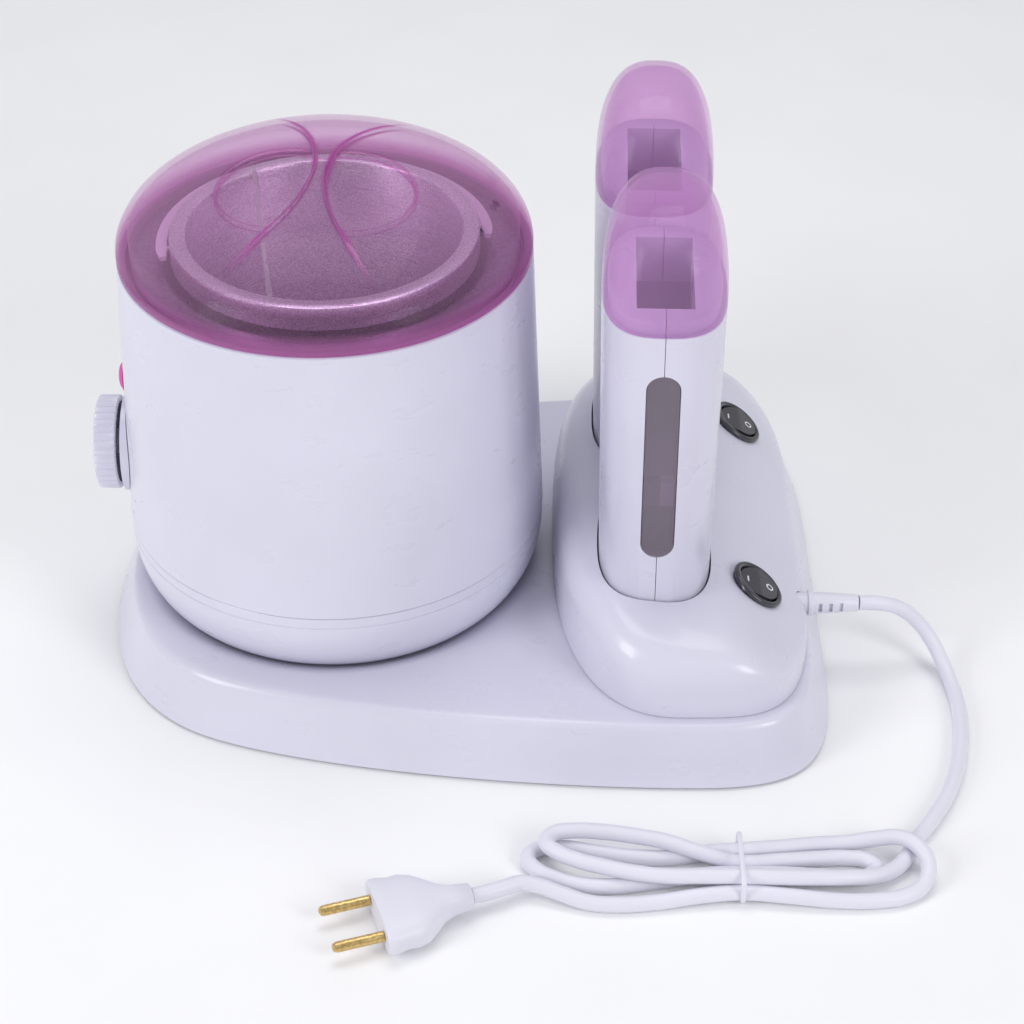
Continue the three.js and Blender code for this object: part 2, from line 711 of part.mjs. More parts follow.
function handpieceRing(z, distance, count = 32) {
  const a = 22 + ((z - 60) / 120) * 1.3 - distance;
  const b = 34.5 + ((z - 60) / 120) * 2.5 - distance;
  return ringAt(ellipse(a, b, HANDPIECE_POWER, count), z);
}

function handpieceOuter(distance) {
  const levels = [
    [HANDPIECE_FOOT_Z, 1.5],
    [HANDPIECE_FOOT_Z + 1.5, 0],
    [HANDPIECE_RIM_Z - GAP, 0],
    [HANDPIECE_RIM_Z - GAP + 0.01, 2.4],
    [HANDPIECE_TOP_Z - 0.8, 2.4],
    [HANDPIECE_TOP_Z, 3.2],
  ];
  return loft(levels.map(([z, extra]) => handpieceRing(z, extra + distance)));
}

function sightSlot(halfWidth, low, high) {
  const slot = new THREE.Shape();
  slot.absarc(0, high - halfWidth, halfWidth, 0, Math.PI, false);
  slot.absarc(0, low + halfWidth, halfWidth, Math.PI, 2 * Math.PI, false);
  return prism(slot, 28, 44, 10).rotateX(Math.PI / 2);
}

function throat(extra, low, high) {
  return block([-SLOT_HALF_X - extra, -SLOT_HALF_Y - extra, low], [SLOT_HALF_X + extra, SLOT_HALF_Y + extra, high]);
}

function handpieceShell() {
  const hollow = loft([
    handpieceRing(32.4, 2.2),
    handpieceRing(176.4, 2.2),
    handpieceRing(177.4, 4.6),
    handpieceRing(182.2, 4.6),
  ]);
  const collar = throat(1.6, 165, HANDPIECE_TOP_Z - 0.5);
  return cut(
    join(cut(handpieceOuter(0), hollow), collar),
    throat(0, 160, 190),
    sightSlot(6.1 + GAP, 79.2, 162.3),
    block([-8.4, -5.4, 20], [8.4, 5.4, 40]),
  );
}

function handpieceWell() {
  const tubeOuter = throat(1.3, 98.5, 164.7);
  const window = block([-5.6, -32, 108], [5.6, -24, 158]);
  return cut(tubeOuter, throat(0, 100, 170), window);
}

function handpieceCap() {
  const rim = HANDPIECE_RIM_Z;
  const power = 2 / 2.45;
  const skin = (wall, angles) => angles.map((angle) => {
    const share = Math.cos(angle * DEGREE) ** power;
    const z = rim + (CAP_HEIGHT - wall) * Math.sin(angle * DEGREE) ** power;
    const a = (23.29 - wall) * share;
    const b = (36.98 - wall) * share;
    return ringAt(ellipse(a, b, HANDPIECE_POWER, 32), z);
  });
  const inside = skin(CAP_WALL, [82, 56, 34, 15, 0]);
  const outside = skin(0, [0, 14, 30, 47, 66, 85]);
  return loft([...inside, ...outside]);
}

function handpieceHeater() {
  const plate = block([12.2, -22, 105], [15.2, 20, 150]);
  const arm = block([12.2, -28.2, 101], [13.2, -21, 112]);
  const bridge = block([5, -28.2, 101], [13.2, -27.1, 112]);
  const tab = block([0.4, -31.6, 101], [5.6, -27.1, 112]);
  return join(plate, arm, bridge, tab);
}

function addHandpiece(name, side) {
  const group = new THREE.Group();
  group.position.set(HANDPIECE_X, side * HANDPIECE_Y, 0);
  group.rotation.z = HANDPIECE_TURN;
  unit.add(group);
  const shell = handpieceShell();
  const left = block([-40, -60, 0], [-0.15, 60, 260]);
  const right = block([0.15, -60, 0], [40, 60, 260]);
  addPart(group, `handpiece_${name}_left_shell`, common(shell, left), FINISH.shell);
  addPart(group, `handpiece_${name}_right_shell`, common(shell, right), FINISH.shell);
  const pane = cut(common(sightSlot(6.1, 79.5, 162), handpieceOuter(0.25)), handpieceOuter(1.9));
  addPart(group, `handpiece_${name}_window`, pane, FINISH.lens);
  addPart(group, `handpiece_${name}_well`, handpieceWell(), FINISH.smoke);
  addPart(group, `handpiece_${name}_thermostat`, block([-5.6, -31.6, 101], [-0.4, -27.1, 112]), FINISH.black);
  addPart(group, `handpiece_${name}_heater`, handpieceHeater(), FINISH.ceramic);
  addPart(group, `handpiece_${name}_contact`, block([-8.1, -5.1, 30.6], [8.1, 5.1, 33.4]), FINISH.brass);
  addPart(group, `handpiece_${name}_cap`, handpieceCap(), FINISH.pink);
}

// ---------------------------------------------------------------- mains cord

function strainRelief() {
  const start = CORD_EXIT.x;
  return turned([
    [0, RELIEF_COLLAR_X],
    [5.1, RELIEF_COLLAR_X],
    [5.1, RELIEF_COLLAR_X + 2],
    [4.3, RELIEF_COLLAR_X + 2],
    [4.3, start - 0.1],
    [5.2, start + 0.3],
    [5.2, start + 1.6],
    [4.1, start + 2.2],
    [3.4, RELIEF_END_X],
    [0, RELIEF_END_X],
  ], 16).rotateX(-Math.PI / 2).rotateZ(-Math.PI / 2).translate(0, CORD_EXIT.y, CORD_EXIT.z);
}

function hankOutline() {
  const { left, right, middle, endRadius, waistHalf, waistX } = HANK;
  const leftCentre = left + endRadius;
  const rightCentre = right - endRadius;
  const shape = new THREE.Shape();
  shape.moveTo(rightCentre, middle + endRadius);
  shape.bezierCurveTo(
    rightCentre - 22, middle + endRadius, waistX + 15, middle + waistHalf, waistX, middle + waistHalf,
  );
  shape.bezierCurveTo(
    waistX - 15, middle + waistHalf, leftCentre + 22, middle + endRadius, leftCentre, middle + endRadius,
  );
  shape.absarc(leftCentre, middle, endRadius, Math.PI / 2, 1.5 * Math.PI, false);
  shape.bezierCurveTo(
    leftCentre + 22, middle - endRadius, waistX - 15, middle - waistHalf, waistX, middle - waistHalf,
  );
  shape.bezierCurveTo(
    waistX + 15, middle - waistHalf, rightCentre - 22, middle - endRadius, rightCentre, middle - endRadius,
  );
  shape.absarc(rightCentre, middle, endRadius, 1.5 * Math.PI, 2.5 * Math.PI, false);
  return shape;
}

function cordTie() {
  const frame = (margin) => {
    const half = HANK.waistHalf + 0.4 + margin;
    const low = HANK_FLOOR_Z - GAP - margin;
    const high = HANK_TOP_Z + GAP + margin;
    return [[-half, low], [half, low], [half, high], [-half, high]].map(([y, z]) => new THREE.Vector2(y, z));
  };
  const shape = new THREE.Shape(frame(0.8));
  shape.holes.push(new THREE.Path(frame(0)));
  return prism(shape, -1.2, 1.2)
    .rotateX(Math.PI / 2)
    .rotateZ(Math.PI / 2)
    .translate(HANK.waistX, HANK.middle, 0);
}

function plugBody() {
  const sections = [[0, 4.5, 4.5], [8, 5.2, 5.2], [15, 11, 6.2], [21, 16, 6.8], [33, 17.4, 6.8], [35.5, 16.6, 6]];
  return loft(sections.map(([x, halfWidth, halfHeight]) => (
    ellipse(halfWidth, halfHeight, 3, 24).map((point) => new THREE.Vector3(x, point.x, point.y))
  )));
}

function addCord() {
  addPart(unit, 'strain_relief', strainRelief(), FINISH.cord);
  addPart(unit, 'mains_cord', tube(CORD_ROUTE, CORD_DIAMETER, 8, 20), FINISH.cord);
  addPart(unit, 'cord_hank', prism(hankOutline(), HANK_FLOOR_Z, HANK_TOP_Z, 7), FINISH.cord);
  addPart(unit, 'cord_tie', cordTie(), FINISH.cord);
  addPart(unit, 'mains_cord_tail', tube(TAIL_ROUTE, CORD_DIAMETER, 8, 3), FINISH.cord);
  const plug = new THREE.Group();
  plug.position.set(PLUG_NECK.x, PLUG_NECK.y, PLUG_NECK.z);
  plug.rotation.z = PLUG_TURN;
  unit.add(plug);
  addPart(plug, 'mains_plug', plugBody(), FINISH.cord);
  [-9.5, 9.5].forEach((y, i) => {
    addPart(plug, `plug_pin_${i + 1}`, rod([35.8, y, 0], [54.8, y, 0], 2, 12), FINISH.brass);
  });
}

addBase();
addDock();
addPot();
addLiner();
addLid();
addHandpiece('front', -1);
addHandpiece('back', 1);
addCord();

export default unit;
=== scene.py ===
"""Wax heating unit: the pot with its lid and liner, the cartridge dock and the mains lead."""

import math

import bmesh
import bpy
from mathutils import Matrix, Vector


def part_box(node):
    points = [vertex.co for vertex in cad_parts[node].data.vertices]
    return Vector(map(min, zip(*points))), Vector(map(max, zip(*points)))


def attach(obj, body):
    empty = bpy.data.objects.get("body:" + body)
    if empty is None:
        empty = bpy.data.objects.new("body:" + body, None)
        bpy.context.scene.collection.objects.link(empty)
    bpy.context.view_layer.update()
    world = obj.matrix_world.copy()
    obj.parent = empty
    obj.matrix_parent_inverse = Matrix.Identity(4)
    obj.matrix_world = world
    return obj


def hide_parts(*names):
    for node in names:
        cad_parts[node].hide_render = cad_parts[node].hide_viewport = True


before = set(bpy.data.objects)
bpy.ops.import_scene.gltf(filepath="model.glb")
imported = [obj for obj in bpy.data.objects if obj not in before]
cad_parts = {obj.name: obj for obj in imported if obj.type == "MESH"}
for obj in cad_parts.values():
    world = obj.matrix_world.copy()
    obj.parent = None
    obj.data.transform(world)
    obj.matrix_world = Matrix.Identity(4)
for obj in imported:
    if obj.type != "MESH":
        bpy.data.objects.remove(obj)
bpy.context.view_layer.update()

# ---------------------------------------------------------------- driving sizes, in millimetres

MM = 0.001
GAP = 0.3

DOCK_LOW, DOCK_HIGH = (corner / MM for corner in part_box("dock_housing"))
POT_LOW, POT_HIGH = (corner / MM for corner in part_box("pot_shell"))
RELIEF_LOW, RELIEF_HIGH = (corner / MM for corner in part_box("strain_relief"))

BASE_TOP = (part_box("base_shell")[1] / MM).z
BASE_WALL = 2.6
DISH = {"flat": 66, "radius": 83, "floor": 18.7}

DOCK_X = 85.7
DOCK_FOOT = DOCK_LOW.z
SWITCH_TILT = math.radians(35.6)
SWITCH = Vector((115.3, 57, 48.9))
SOCKET_FLOOR = 30

HANDPIECE_X = 75
HANDPIECE_Y = 43.5
HANDPIECE_TURN = math.radians(-2)
HANDPIECE_FOOT = 30.3
HANDPIECE_RIM = (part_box("handpiece_front_cap")[0] / MM).z
HANDPIECE_TOP = 184.4
HANDPIECE_POWER = 2.8
SLOT_HALF = (10.6, 25.5)
CAP_HEIGHT = 42.4
CAP_WALL = 1.8

POT_X = -53
POT_RIM = POT_HIGH.z
POT_RIM_RADIUS = 80
POT_SEAM = POT_LOW.z
POT_SEAM_RADIUS = 84.3
POT_FLOOR = 19.5
POT_WALL = 2.5
KNOB_Z = 79
KNOB_BACK_X = -139.5
LAMP_Z = 111

LINER_TURN = math.radians(8)
LINER_FLOOR = 103.3
LINER_TOP = 178.6
LINER_RIM_RADIUS = 59.5
WIPER_X = -24
HANDLE_Z = 174

LID_TURN = math.radians(-5.5)
LID_FOOT = POT_RIM + GAP
LID_SHOULDER = 173.4
LID_RISE = 33.5
LID_WALL = 2.3

CORD_DIAMETER = 6
PLUG_NECK = Vector((4, -186.5, 7))
PLUG_TURN = math.radians(198)

# The lead from its strain relief down to the hank, as the solids run.
LEAD = [
    (158.3, -45, 31), (167, -44.5, 30.3), (175.5, -43, 26.6), (183, -42.8, 20), (189, -45.5, 12.6),
    (193.2, -52, 6.6), (195.8, -62, 3.6), (196.9, -75.4, 3.05), (195.8, -90.6, 3.05), (193.2, -105.3, 3.05),
    (189.6, -118, 3.05), (184.2, -130.8, 3.05), (177.6, -142.1, 3.05), (168.9, -155.4, 3.05),
]
# Under the outer fold and along the top of the bundle to the left.
TOP_STRAND = [
    (165.4, -162.4, 3.05), (159.6, -169.6, 3.6), (152, -174.8, 5.6), (142, -177.6, 7.6), (130, -178.8, 8.7),
    (116, -178.8, 9), (103, -178.4, 9.1), (88, -178.4, 9.1), (74, -178.2, 9),
    (62, -176, 8.8), (52, -173, 8.8),
]
UPPER_LEFT_FOLD = [
    (43, -170, 9), (35.5, -165.8, 9.1), (31.5, -160.8, 9.1), (33.8, -156.2, 9.1), (41, -154.3, 9),
]
BACK_TO_INNER = [
    (52, -154.6, 8.8), (64, -156.6, 8.6), (76, -160, 8.8), (88, -164.4, 7.6), (103, -166.4, 4.4),
    (118, -165.4, 4.2), (132, -163.4, 3.4),
]
INNER_RIGHT_FOLD = [
    (143, -162.6, 3.05), (150.6, -164.2, 3.05), (153.4, -168.2, 3.05), (150.4, -172, 3.05), (143, -173, 3.05),
]
UNDER_STRAND = [
    (131, -172.6, 3.4), (117, -172.4, 4.2), (103, -172.4, 4.4), (88, -172.8, 4),
    (72, -175, 3.05), (57, -177.4, 3.05),
]
LEFT_FOLD = [
    (45, -177, 3.05), (34.6, -173.4, 3.05), (27, -168, 3.05), (24.6, -162.2, 3.05), (29, -157.6, 3.05),
    (38, -157.2, 3.05),
]
BACK_TO_OUTER = [
    (50, -159.8, 3.05), (64, -162.2, 3.05), (78, -162.4, 3.05), (91, -160.8, 4), (103, -160, 4.4),
    (118, -158.4, 4.2), (132, -156, 3.6), (144, -155.1, 3.6),
]
OUTER_RIGHT_FOLD = [
    (154.6, -155.4, 6), (163.4, -157.8, 8.8), (169.8, -163, 8.6), (172.4, -170, 6), (169.6, -177.4, 3.6),
    (162.4, -182.6, 3.05),
]
FRONT_STRAND = [
    (152, -184.8, 3.05), (138, -185, 3.2), (120, -183.6, 4.2), (103, -182, 4.4), (88, -183.2, 4),
    (72, -185.6, 3.1), (58, -186.9, 3.05), (46.5, -186, 3.3), (37, -182.8, 4.4), (29.4, -180.2, 5.6),
]
TAIL = [(22.2, -179.3, 6.6), (16.5, -181.9, 7), (10.5, -184.3, 7), (4.3, -186.4, 7)]
CORD_ROUTE = (
    LEAD + TOP_STRAND + UPPER_LEFT_FOLD + BACK_TO_INNER + INNER_RIGHT_FOLD + UNDER_STRAND
    + LEFT_FOLD + BACK_TO_OUTER + OUTER_RIGHT_FOLD + FRONT_STRAND + TAIL
)
TIE_X = 103

# ---------------------------------------------------------------- meshes


def add_piece(name, points, faces, place=Matrix.Identity(4)):
    """A mesh object from points in millimetres, moved by place into the row frame."""
    mesh = bpy.data.meshes.new(name)
    mesh.from_pydata([tuple(place @ Vector(point) * MM) for point in points], [], faces)
    mesh.validate()
    piece = bpy.data.objects.new(name, mesh)
    bpy.context.scene.collection.objects.link(piece)
    return piece


def loft(rings, first=True, last=True):
    """Points and faces of a skin through rings of equal length, with a fan over its ends."""
    count = len(rings[0])
    points = [Vector(point) for ring in rings for point in ring]
    faces = []
    for ring in range(len(rings) - 1):
        low, high = ring * count, (ring + 1) * count
        for i in range(count):
            j = (i + 1) % count
            faces.append((low + i, low + j, high + j, high + i))
    for wanted, start, flip in ((first, 0, True), (last, (len(rings) - 1) * count, False)):
        if not wanted:
            continue
        centre = sum((points[start + i] for i in range(count)), Vector()) / count
        points.append(centre)
        hub = len(points) - 1
        for i in range(count):
            a, b = start + i, start + (i + 1) % count
            faces.append((hub, b, a) if flip else (hub, a, b))
    return points, faces


def turned(profile, segments=128):
    """A body turned about Z: closed where its profile starts and ends on the axis, a ring otherwise."""
    on_axis = profile[0][0] == 0 and profile[-1][0] == 0
    middle = profile[1:-1] if on_axis else profile
    rings = []
    for radius, z in middle:
        rings.append([
            (radius * math.cos(2 * math.pi * i / segments), radius * math.sin(2 * math.pi * i / segments), z)
            for i in range(segments)
        ])
    if not on_axis:
        rings.append(rings[0])
    points, faces = loft(rings, first=False, last=False)
    if on_axis:
        last_ring = (len(rings) - 1) * segments
        for z, start, flip in ((profile[0][1], 0, True), (profile[-1][1], last_ring, False)):
            points.append(Vector((0, 0, z)))
            hub = len(points) - 1
            for i in range(segments):
                a, b = start + i, start + (i + 1) % segments
                faces.append((hub, b, a) if flip else (hub, a, b))
    return points, faces


def block(low, high):
    corners = [(x, y, z) for z in (low[2], high[2]) for x, y in (
        (low[0], low[1]), (high[0], low[1]), (high[0], high[1]), (low[0], high[1]))]
    return corners, [(3, 2, 1, 0), (4, 5, 6, 7), (0, 1, 5, 4), (1, 2, 6, 5), (2, 3, 7, 6), (3, 0, 4, 7)]


def rod(radius, low, high, sides=48):
    return turned([(0, low), (radius, low), (radius, high), (0, high)], sides)


def face_outwards(piece):
    """Merges doubled points and turns every face to point out of the solid."""
    work = bmesh_of(piece)
    bmesh.ops.remove_doubles(work, verts=work.verts, dist=1e-7)
    bmesh.ops.recalc_face_normals(work, faces=work.faces)
    work.to_mesh(piece.data)
    work.free()
    return piece


def bmesh_of(piece):
    work = bmesh.new()
    work.from_mesh(piece.data)
    return work


def solid(name, shape, place=Matrix.Identity(4)):
    return face_outwards(add_piece(name, *shape, place))


def combine(piece, other, operation="DIFFERENCE"):
    """Applies a boolean with the other solid, which is used up."""
    modifier = piece.modifiers.new("shape", "BOOLEAN")
    modifier.operation = operation
    modifier.solver = "EXACT"
    modifier.object = other
    bpy.context.view_layer.update()
    result = bpy.data.meshes.new_from_object(piece.evaluated_get(bpy.context.evaluated_depsgraph_get()))
    piece.modifiers.clear()
    piece.data = result
    bpy.data.objects.remove(other)
    return piece


def finish(piece, body, material, nodes=(), bevel=0.0, angle=35):
    """Smooth shading with crisp edges, a small edge radius, a material and a body to ride on."""
    piece.data.shade_smooth()
    piece.data.set_sharp_from_angle(angle=math.radians(angle))
    if bevel:
        edge = piece.modifiers.new("edge", "BEVEL")
        edge.width = bevel * MM
        edge.segments = 3
        edge.limit_method = "ANGLE"
        edge.angle_limit = math.radians(angle)
        edge.harden_normals = True
    piece.data.materials.clear()
    piece.data.materials.append(material)
    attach(piece, body)
    if nodes:
        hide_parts(*nodes)
    return piece


def signed_power(value, power):
    return math.copysign(abs(value) ** power, value)


def superellipse(a, b, power, count=128):
    points = []
    for i in range(count):
        angle = 2 * math.pi * i / count
        x = a * signed_power(math.cos(angle), 2 / power)
        y = b * signed_power(math.sin(angle), 2 / power)
        points.append((x, y))
    return points


def smoothstep(value, low=0.0, high=1.0):
    share = min(1.0, max(0.0, (value - low) / (high - low)))
    return share * share * (3 - 2 * share)


def move(x, y, z):
    return Matrix.Translation((x, y, z))


def turn_z(angle):
    return Matrix.Rotation(angle, 4, "Z")


# ---------------------------------------------------------------- materials


def new_material(name):
    material = bpy.data.materials.new(name)
    material.use_nodes = True
    material.node_tree.nodes.clear()
    return material, material.node_tree


def add(tree, kind, inputs=None, **settings):
    """A node with its settings, and with each input linked or set."""
    node = tree.nodes.new(kind)
    for key, value in settings.items():
        setattr(node, key, value)
    for key, value in (inputs or {}).items():
        if isinstance(value, bpy.types.NodeSocket):
            tree.links.new(value, node.inputs[key])
        else:
            node.inputs[key].default_value = value
    return node


def maths(tree, operation, *values):
    return add(tree, "ShaderNodeMath", dict(enumerate(values)), operation=operation).outputs[0]


def noise(tree, scale, detail=3.0, stretch=(1, 1, 1)):
    coordinates = add(tree, "ShaderNodeTexCoord").outputs["Object"]
    mapped = add(tree, "ShaderNodeMapping", {"Vector": coordinates, "Scale": stretch}).outputs[0]
    keys = {"Vector": mapped, "Scale": scale, "Detail": detail}
    return add(tree, "ShaderNodeTexNoise", keys).outputs["Fac"]


def between(tree, value, low, high, start=0.3, end=0.7):
    keys = {"Value": value, "From Min": start, "From Max": end, "To Min": low, "To Max": high}
    return add(tree, "ShaderNodeMapRange", keys).outputs[0]


def blend_colour(tree, factor, first, second):
    node = add(tree, "ShaderNodeMix", data_type="RGBA")
    for socket, value in ((node.inputs[0], factor), (node.inputs[6], first), (node.inputs[7], second)):
        if isinstance(value, bpy.types.NodeSocket):
            tree.links.new(value, socket)
        else:
            socket.default_value = value
    return node.outputs[2]


def colour(rgb, scale=1.0):
    return tuple(min(1.0, channel * scale) for channel in rgb) + (1.0,)


def bump(tree, height, strength, distance):
    keys = {"Height": height, "Strength": strength, "Distance": distance}
    return add(tree, "ShaderNodeBump", keys).outputs[0]


def show(tree, shader):
    add(tree, "ShaderNodeOutputMaterial", {"Surface": shader})


def moulded(name, rgb, roughness, coat=0.0, grain=420.0, depth=0.04, tint=0.035, subsurface=0.0):
    """Moulded plastic: slow colour drift, a fine orange peel and patches of wear in the gloss."""
    material, tree = new_material(name)
    drift = between(tree, noise(tree, 14, 2), 0, 1)
    base = blend_colour(tree, drift, colour(rgb, 1 - tint), colour(rgb, 1 + tint))
    wear = noise(tree, 46, 5, (1, 1, 2.4))
    scuffs = between(tree, wear, roughness * 0.94, roughness * 1.08, 0.2, 0.8)
    normal = bump(tree, noise(tree, grain, 2), depth, 0.0003)
    shader = add(tree, "ShaderNodeBsdfPrincipled", {
        "Base Color": base, "Roughness": scuffs, "Normal": normal,
        "Coat Weight": coat, "Coat Roughness": 0.06, "Subsurface Weight": subsurface,
        "Subsurface Radius": (1.0, 0.8, 1.0), "Subsurface Scale": 0.002,
    })
    show(tree, shader.outputs[0])
    return material


def grainy_metal(name, dark, light, roughness, grain):
    """Pressed metal with a fine sparkle and drawn streaks."""
    material, tree = new_material(name)
    speckle = between(tree, noise(tree, grain, 1), 0, 1, 0.35, 0.65)
    streaks = noise(tree, 60, 3, (1, 1, 12))
    base = blend_colour(tree, speckle, colour(dark), colour(light))
    rough = between(tree, streaks, roughness * 0.8, roughness * 1.3)
    shader = add(tree, "ShaderNodeBsdfPrincipled", {
        "Base Color": base, "Metallic": 0.85, "Roughness": rough,
        "Normal": bump(tree, speckle, 0.25, 0.00012),
    })
    show(tree, shader.outputs[0])
    return material


def clear_plastic(name, tint, rgb, opacity, edge_opacity):
    """Clear tinted plastic: a tinted view through it, body colour, and gloss that grows towards its edges."""
    material, tree = new_material(name)
    drift = between(tree, noise(tree, 18, 2), 0, 1)
    seen = add(tree, "ShaderNodeBsdfTransparent", {
        "Color": blend_colour(tree, drift, colour(tint, 0.97), colour(tint, 1.02))})
    gloss = add(tree, "ShaderNodeBsdfPrincipled", {
        "Base Color": blend_colour(tree, drift, colour(rgb, 0.95), colour(rgb, 1.04)),
        "Roughness": between(tree, noise(tree, 50, 4), 0.05, 0.1),
        "Normal": bump(tree, noise(tree, 90, 2), 0.03, 0.0004),
    })
    facing = add(tree, "ShaderNodeLayerWeight", {"Blend": 0.3}).outputs["Facing"]
    factor = between(tree, facing, opacity, edge_opacity, 0.0, 1.0)
    mixed = add(tree, "ShaderNodeMixShader", {0: factor, 1: seen.outputs[0], 2: gloss.outputs[0]})
    show(tree, mixed.outputs[0])
    return material


def falloff(tree, distance, width):
    """1 on a line and 0 away from it: exp(-(distance / width) squared)."""
    share = maths(tree, "DIVIDE", distance, width)
    return maths(tree, "EXPONENT", maths(tree, "MULTIPLY", maths(tree, "MULTIPLY", share, share), -1.0))


def lid_plastic(name):
    """Clear pink with painted shade along the lid's creases and round its dishes, and painted shade towards
    its rim.
    """
    material, tree = new_material(name)
    coordinates = add(tree, "ShaderNodeTexCoord").outputs["Object"]
    local = add(tree, "ShaderNodeMapping", {
        "Vector": coordinates, "Location": (POT_X * MM, 0, 0), "Rotation": (0, 0, LID_TURN),
        "Scale": (MM, MM, MM),
    }, vector_type="TEXTURE").outputs[0]
    split = add(tree, "ShaderNodeSeparateXYZ", {0: local})
    across = maths(tree, "ABSOLUTE", split.outputs[0])
    along, height = split.outputs[1], split.outputs[2]
    # Painted shade: masks for a dark line along each crease beside the grip ridge, round each dish and
    # towards the foot of the dome.
    reach = maths(tree, "ADD", along, 4.0)
    half = maths(tree, "MULTIPLY_ADD", maths(tree, "MULTIPLY", reach, reach), 1 / 128, 2.6)
    beyond = maths(tree, "SUBTRACT", across, half)
    within = maths(tree, "SUBTRACT", 1.0, between(tree, maths(tree, "ABSOLUTE", reach), 0, 1, 44, 58))
    crease_shade = maths(tree, "MULTIPLY", falloff(tree, beyond, 1.0), within)
    dish_x = maths(tree, "SUBTRACT", across, 12.0)
    dish_y = maths(tree, "ADD", along, 15.0)
    dish_x_squared = maths(tree, "MULTIPLY", dish_x, dish_x)
    dish_y_squared = maths(tree, "MULTIPLY", dish_y, dish_y)
    squares = maths(tree, "ADD", dish_x_squared, dish_y_squared)
    from_dish = maths(tree, "SUBTRACT", maths(tree, "SQRT", squares), 25.6)
    beside = between(tree, beyond, 0, 1, 0, 1.5)
    dish_edge_shade = maths(tree, "MULTIPLY", maths(tree, "MULTIPLY", falloff(tree, from_dish, 0.7), beside), 0.6)
    # Painted shade towards the rim: full at the lid's foot, gone a little above the shoulder.
    rim = between(tree, height, 1, 0, LID_FOOT, LID_SHOULDER + 4)
    painted_shade_lines = maths(tree, "MAXIMUM", crease_shade, maths(tree, "MAXIMUM", dish_edge_shade, maths(tree, "MULTIPLY", rim, 0.75)))
    # The painted shade darkens the tint and the gloss colour and makes the lid less clear along these lines.
    deep = maths(tree, "MINIMUM", painted_shade_lines, 1.0)
    tint = blend_colour(tree, deep, (0.965, 0.905, 0.965, 1), (0.62, 0.2, 0.55, 1))
    body = blend_colour(tree, deep, (0.75, 0.4, 0.7, 1), (0.42, 0.05, 0.33, 1))
    seen = add(tree, "ShaderNodeBsdfTransparent", {"Color": tint})
    gloss = add(tree, "ShaderNodeBsdfPrincipled", {
        "Base Color": body, "Roughness": between(tree, noise(tree, 50, 4), 0.04, 0.08),
        "Normal": bump(tree, noise(tree, 60, 2), 0.02, 0.0004),
    })
    facing = add(tree, "ShaderNodeLayerWeight", {"Blend": 0.35}).outputs["Facing"]
    clear = between(tree, facing, 0.05, 0.4, 0.0, 1.0)
    factor = maths(tree, "MAXIMUM", clear, maths(tree, "MULTIPLY", deep, 0.75))
    mixed = add(tree, "ShaderNodeMixShader", {0: factor, 1: seen.outputs[0], 2: gloss.outputs[0]})
    show(tree, mixed.outputs[0])
    return material


MATERIAL = {
    "shell": moulded("shell_plastic", (0.68, 0.675, 0.79), 0.28, coat=0.2, subsurface=0.05),
    "handpiece": moulded("handpiece_plastic", (0.68, 0.66, 0.78), 0.28, coat=0.2, subsurface=0.05),
    "throat": moulded("throat_plastic", (0.42, 0.38, 0.52), 0.2, coat=0.4),
    "lamp": clear_plastic("lamp_lens", (0.95, 0.4, 0.75), (0.85, 0.15, 0.5), 0.55, 0.9),
    "lid": lid_plastic("lid_plastic"),
    "cap": clear_plastic("cap_plastic", (0.955, 0.86, 0.96), (0.74, 0.44, 0.76), 0.14, 0.5),
    "bail": clear_plastic("bail_plastic", (0.9, 0.78, 0.88), (0.75, 0.62, 0.76), 0.6, 0.85),
    "window": clear_plastic("window_plastic", (0.72, 0.64, 0.74), (0.5, 0.44, 0.52), 0.25, 0.6),
    "well": grainy_metal("coated_well", (0.16, 0.11, 0.17), (0.26, 0.19, 0.27), 0.3, 1300),
    "liner": grainy_metal("pressed_liner", (0.5, 0.42, 0.52), (0.78, 0.7, 0.8), 0.3, 1500),
    "steel": grainy_metal("satin_steel", (0.48, 0.47, 0.5), (0.66, 0.65, 0.68), 0.22, 900),
    "brass": grainy_metal("contact_brass", (0.55, 0.38, 0.14), (0.75, 0.55, 0.24), 0.3, 900),
    "black": moulded("switch_black", (0.038, 0.036, 0.048), 0.22, coat=0.4, grain=600, depth=0.08, tint=0.1),
    "mark": moulded("switch_mark", (0.8, 0.8, 0.84), 0.4),
    "rubber": moulded("foot_rubber", (0.07, 0.07, 0.08), 0.75, grain=800, depth=0.3, tint=0.12),
    "inner": moulded("heat_proof_plastic", (0.6, 0.56, 0.48), 0.6, grain=500, depth=0.2, tint=0.06),
    "pad": moulded("heater_pad", (0.72, 0.68, 0.76), 0.4, grain=500, depth=0.2, tint=0.06),
    "cord": moulded("cord_vinyl", (0.74, 0.735, 0.82), 0.42, grain=700, depth=0.12, subsurface=0.1),
    "floor": moulded("studio_floor", (0.93, 0.93, 0.94), 0.9, grain=30, depth=0.02, tint=0.01),
}

# ---------------------------------------------------------------- studio


def add_camera():
    camera = bpy.data.objects.new("camera", bpy.data.cameras.new("camera"))
    camera.data.sensor_width = 36
    camera.data.lens = 89.33
    camera.data.clip_end = 20
    camera.location = (0.0187, -0.8486, 0.6653)
    camera.rotation_euler = (math.radians(53.76), 0, 0)
    bpy.context.scene.collection.objects.link(camera)
    bpy.context.scene.camera = camera


def add_light(name, place, target, size, power, tint=(1, 1, 1)):
    lamp = bpy.data.lights.new(name, "AREA")
    lamp.shape = "RECTANGLE"
    lamp.size, lamp.size_y = size
    lamp.energy = power
    lamp.color = tint
    light = bpy.data.objects.new(name, lamp)
    light.location = place
    light.rotation_euler = (Vector(target) - Vector(place)).to_track_quat("-Z", "Y").to_euler()
    bpy.context.scene.collection.objects.link(light)


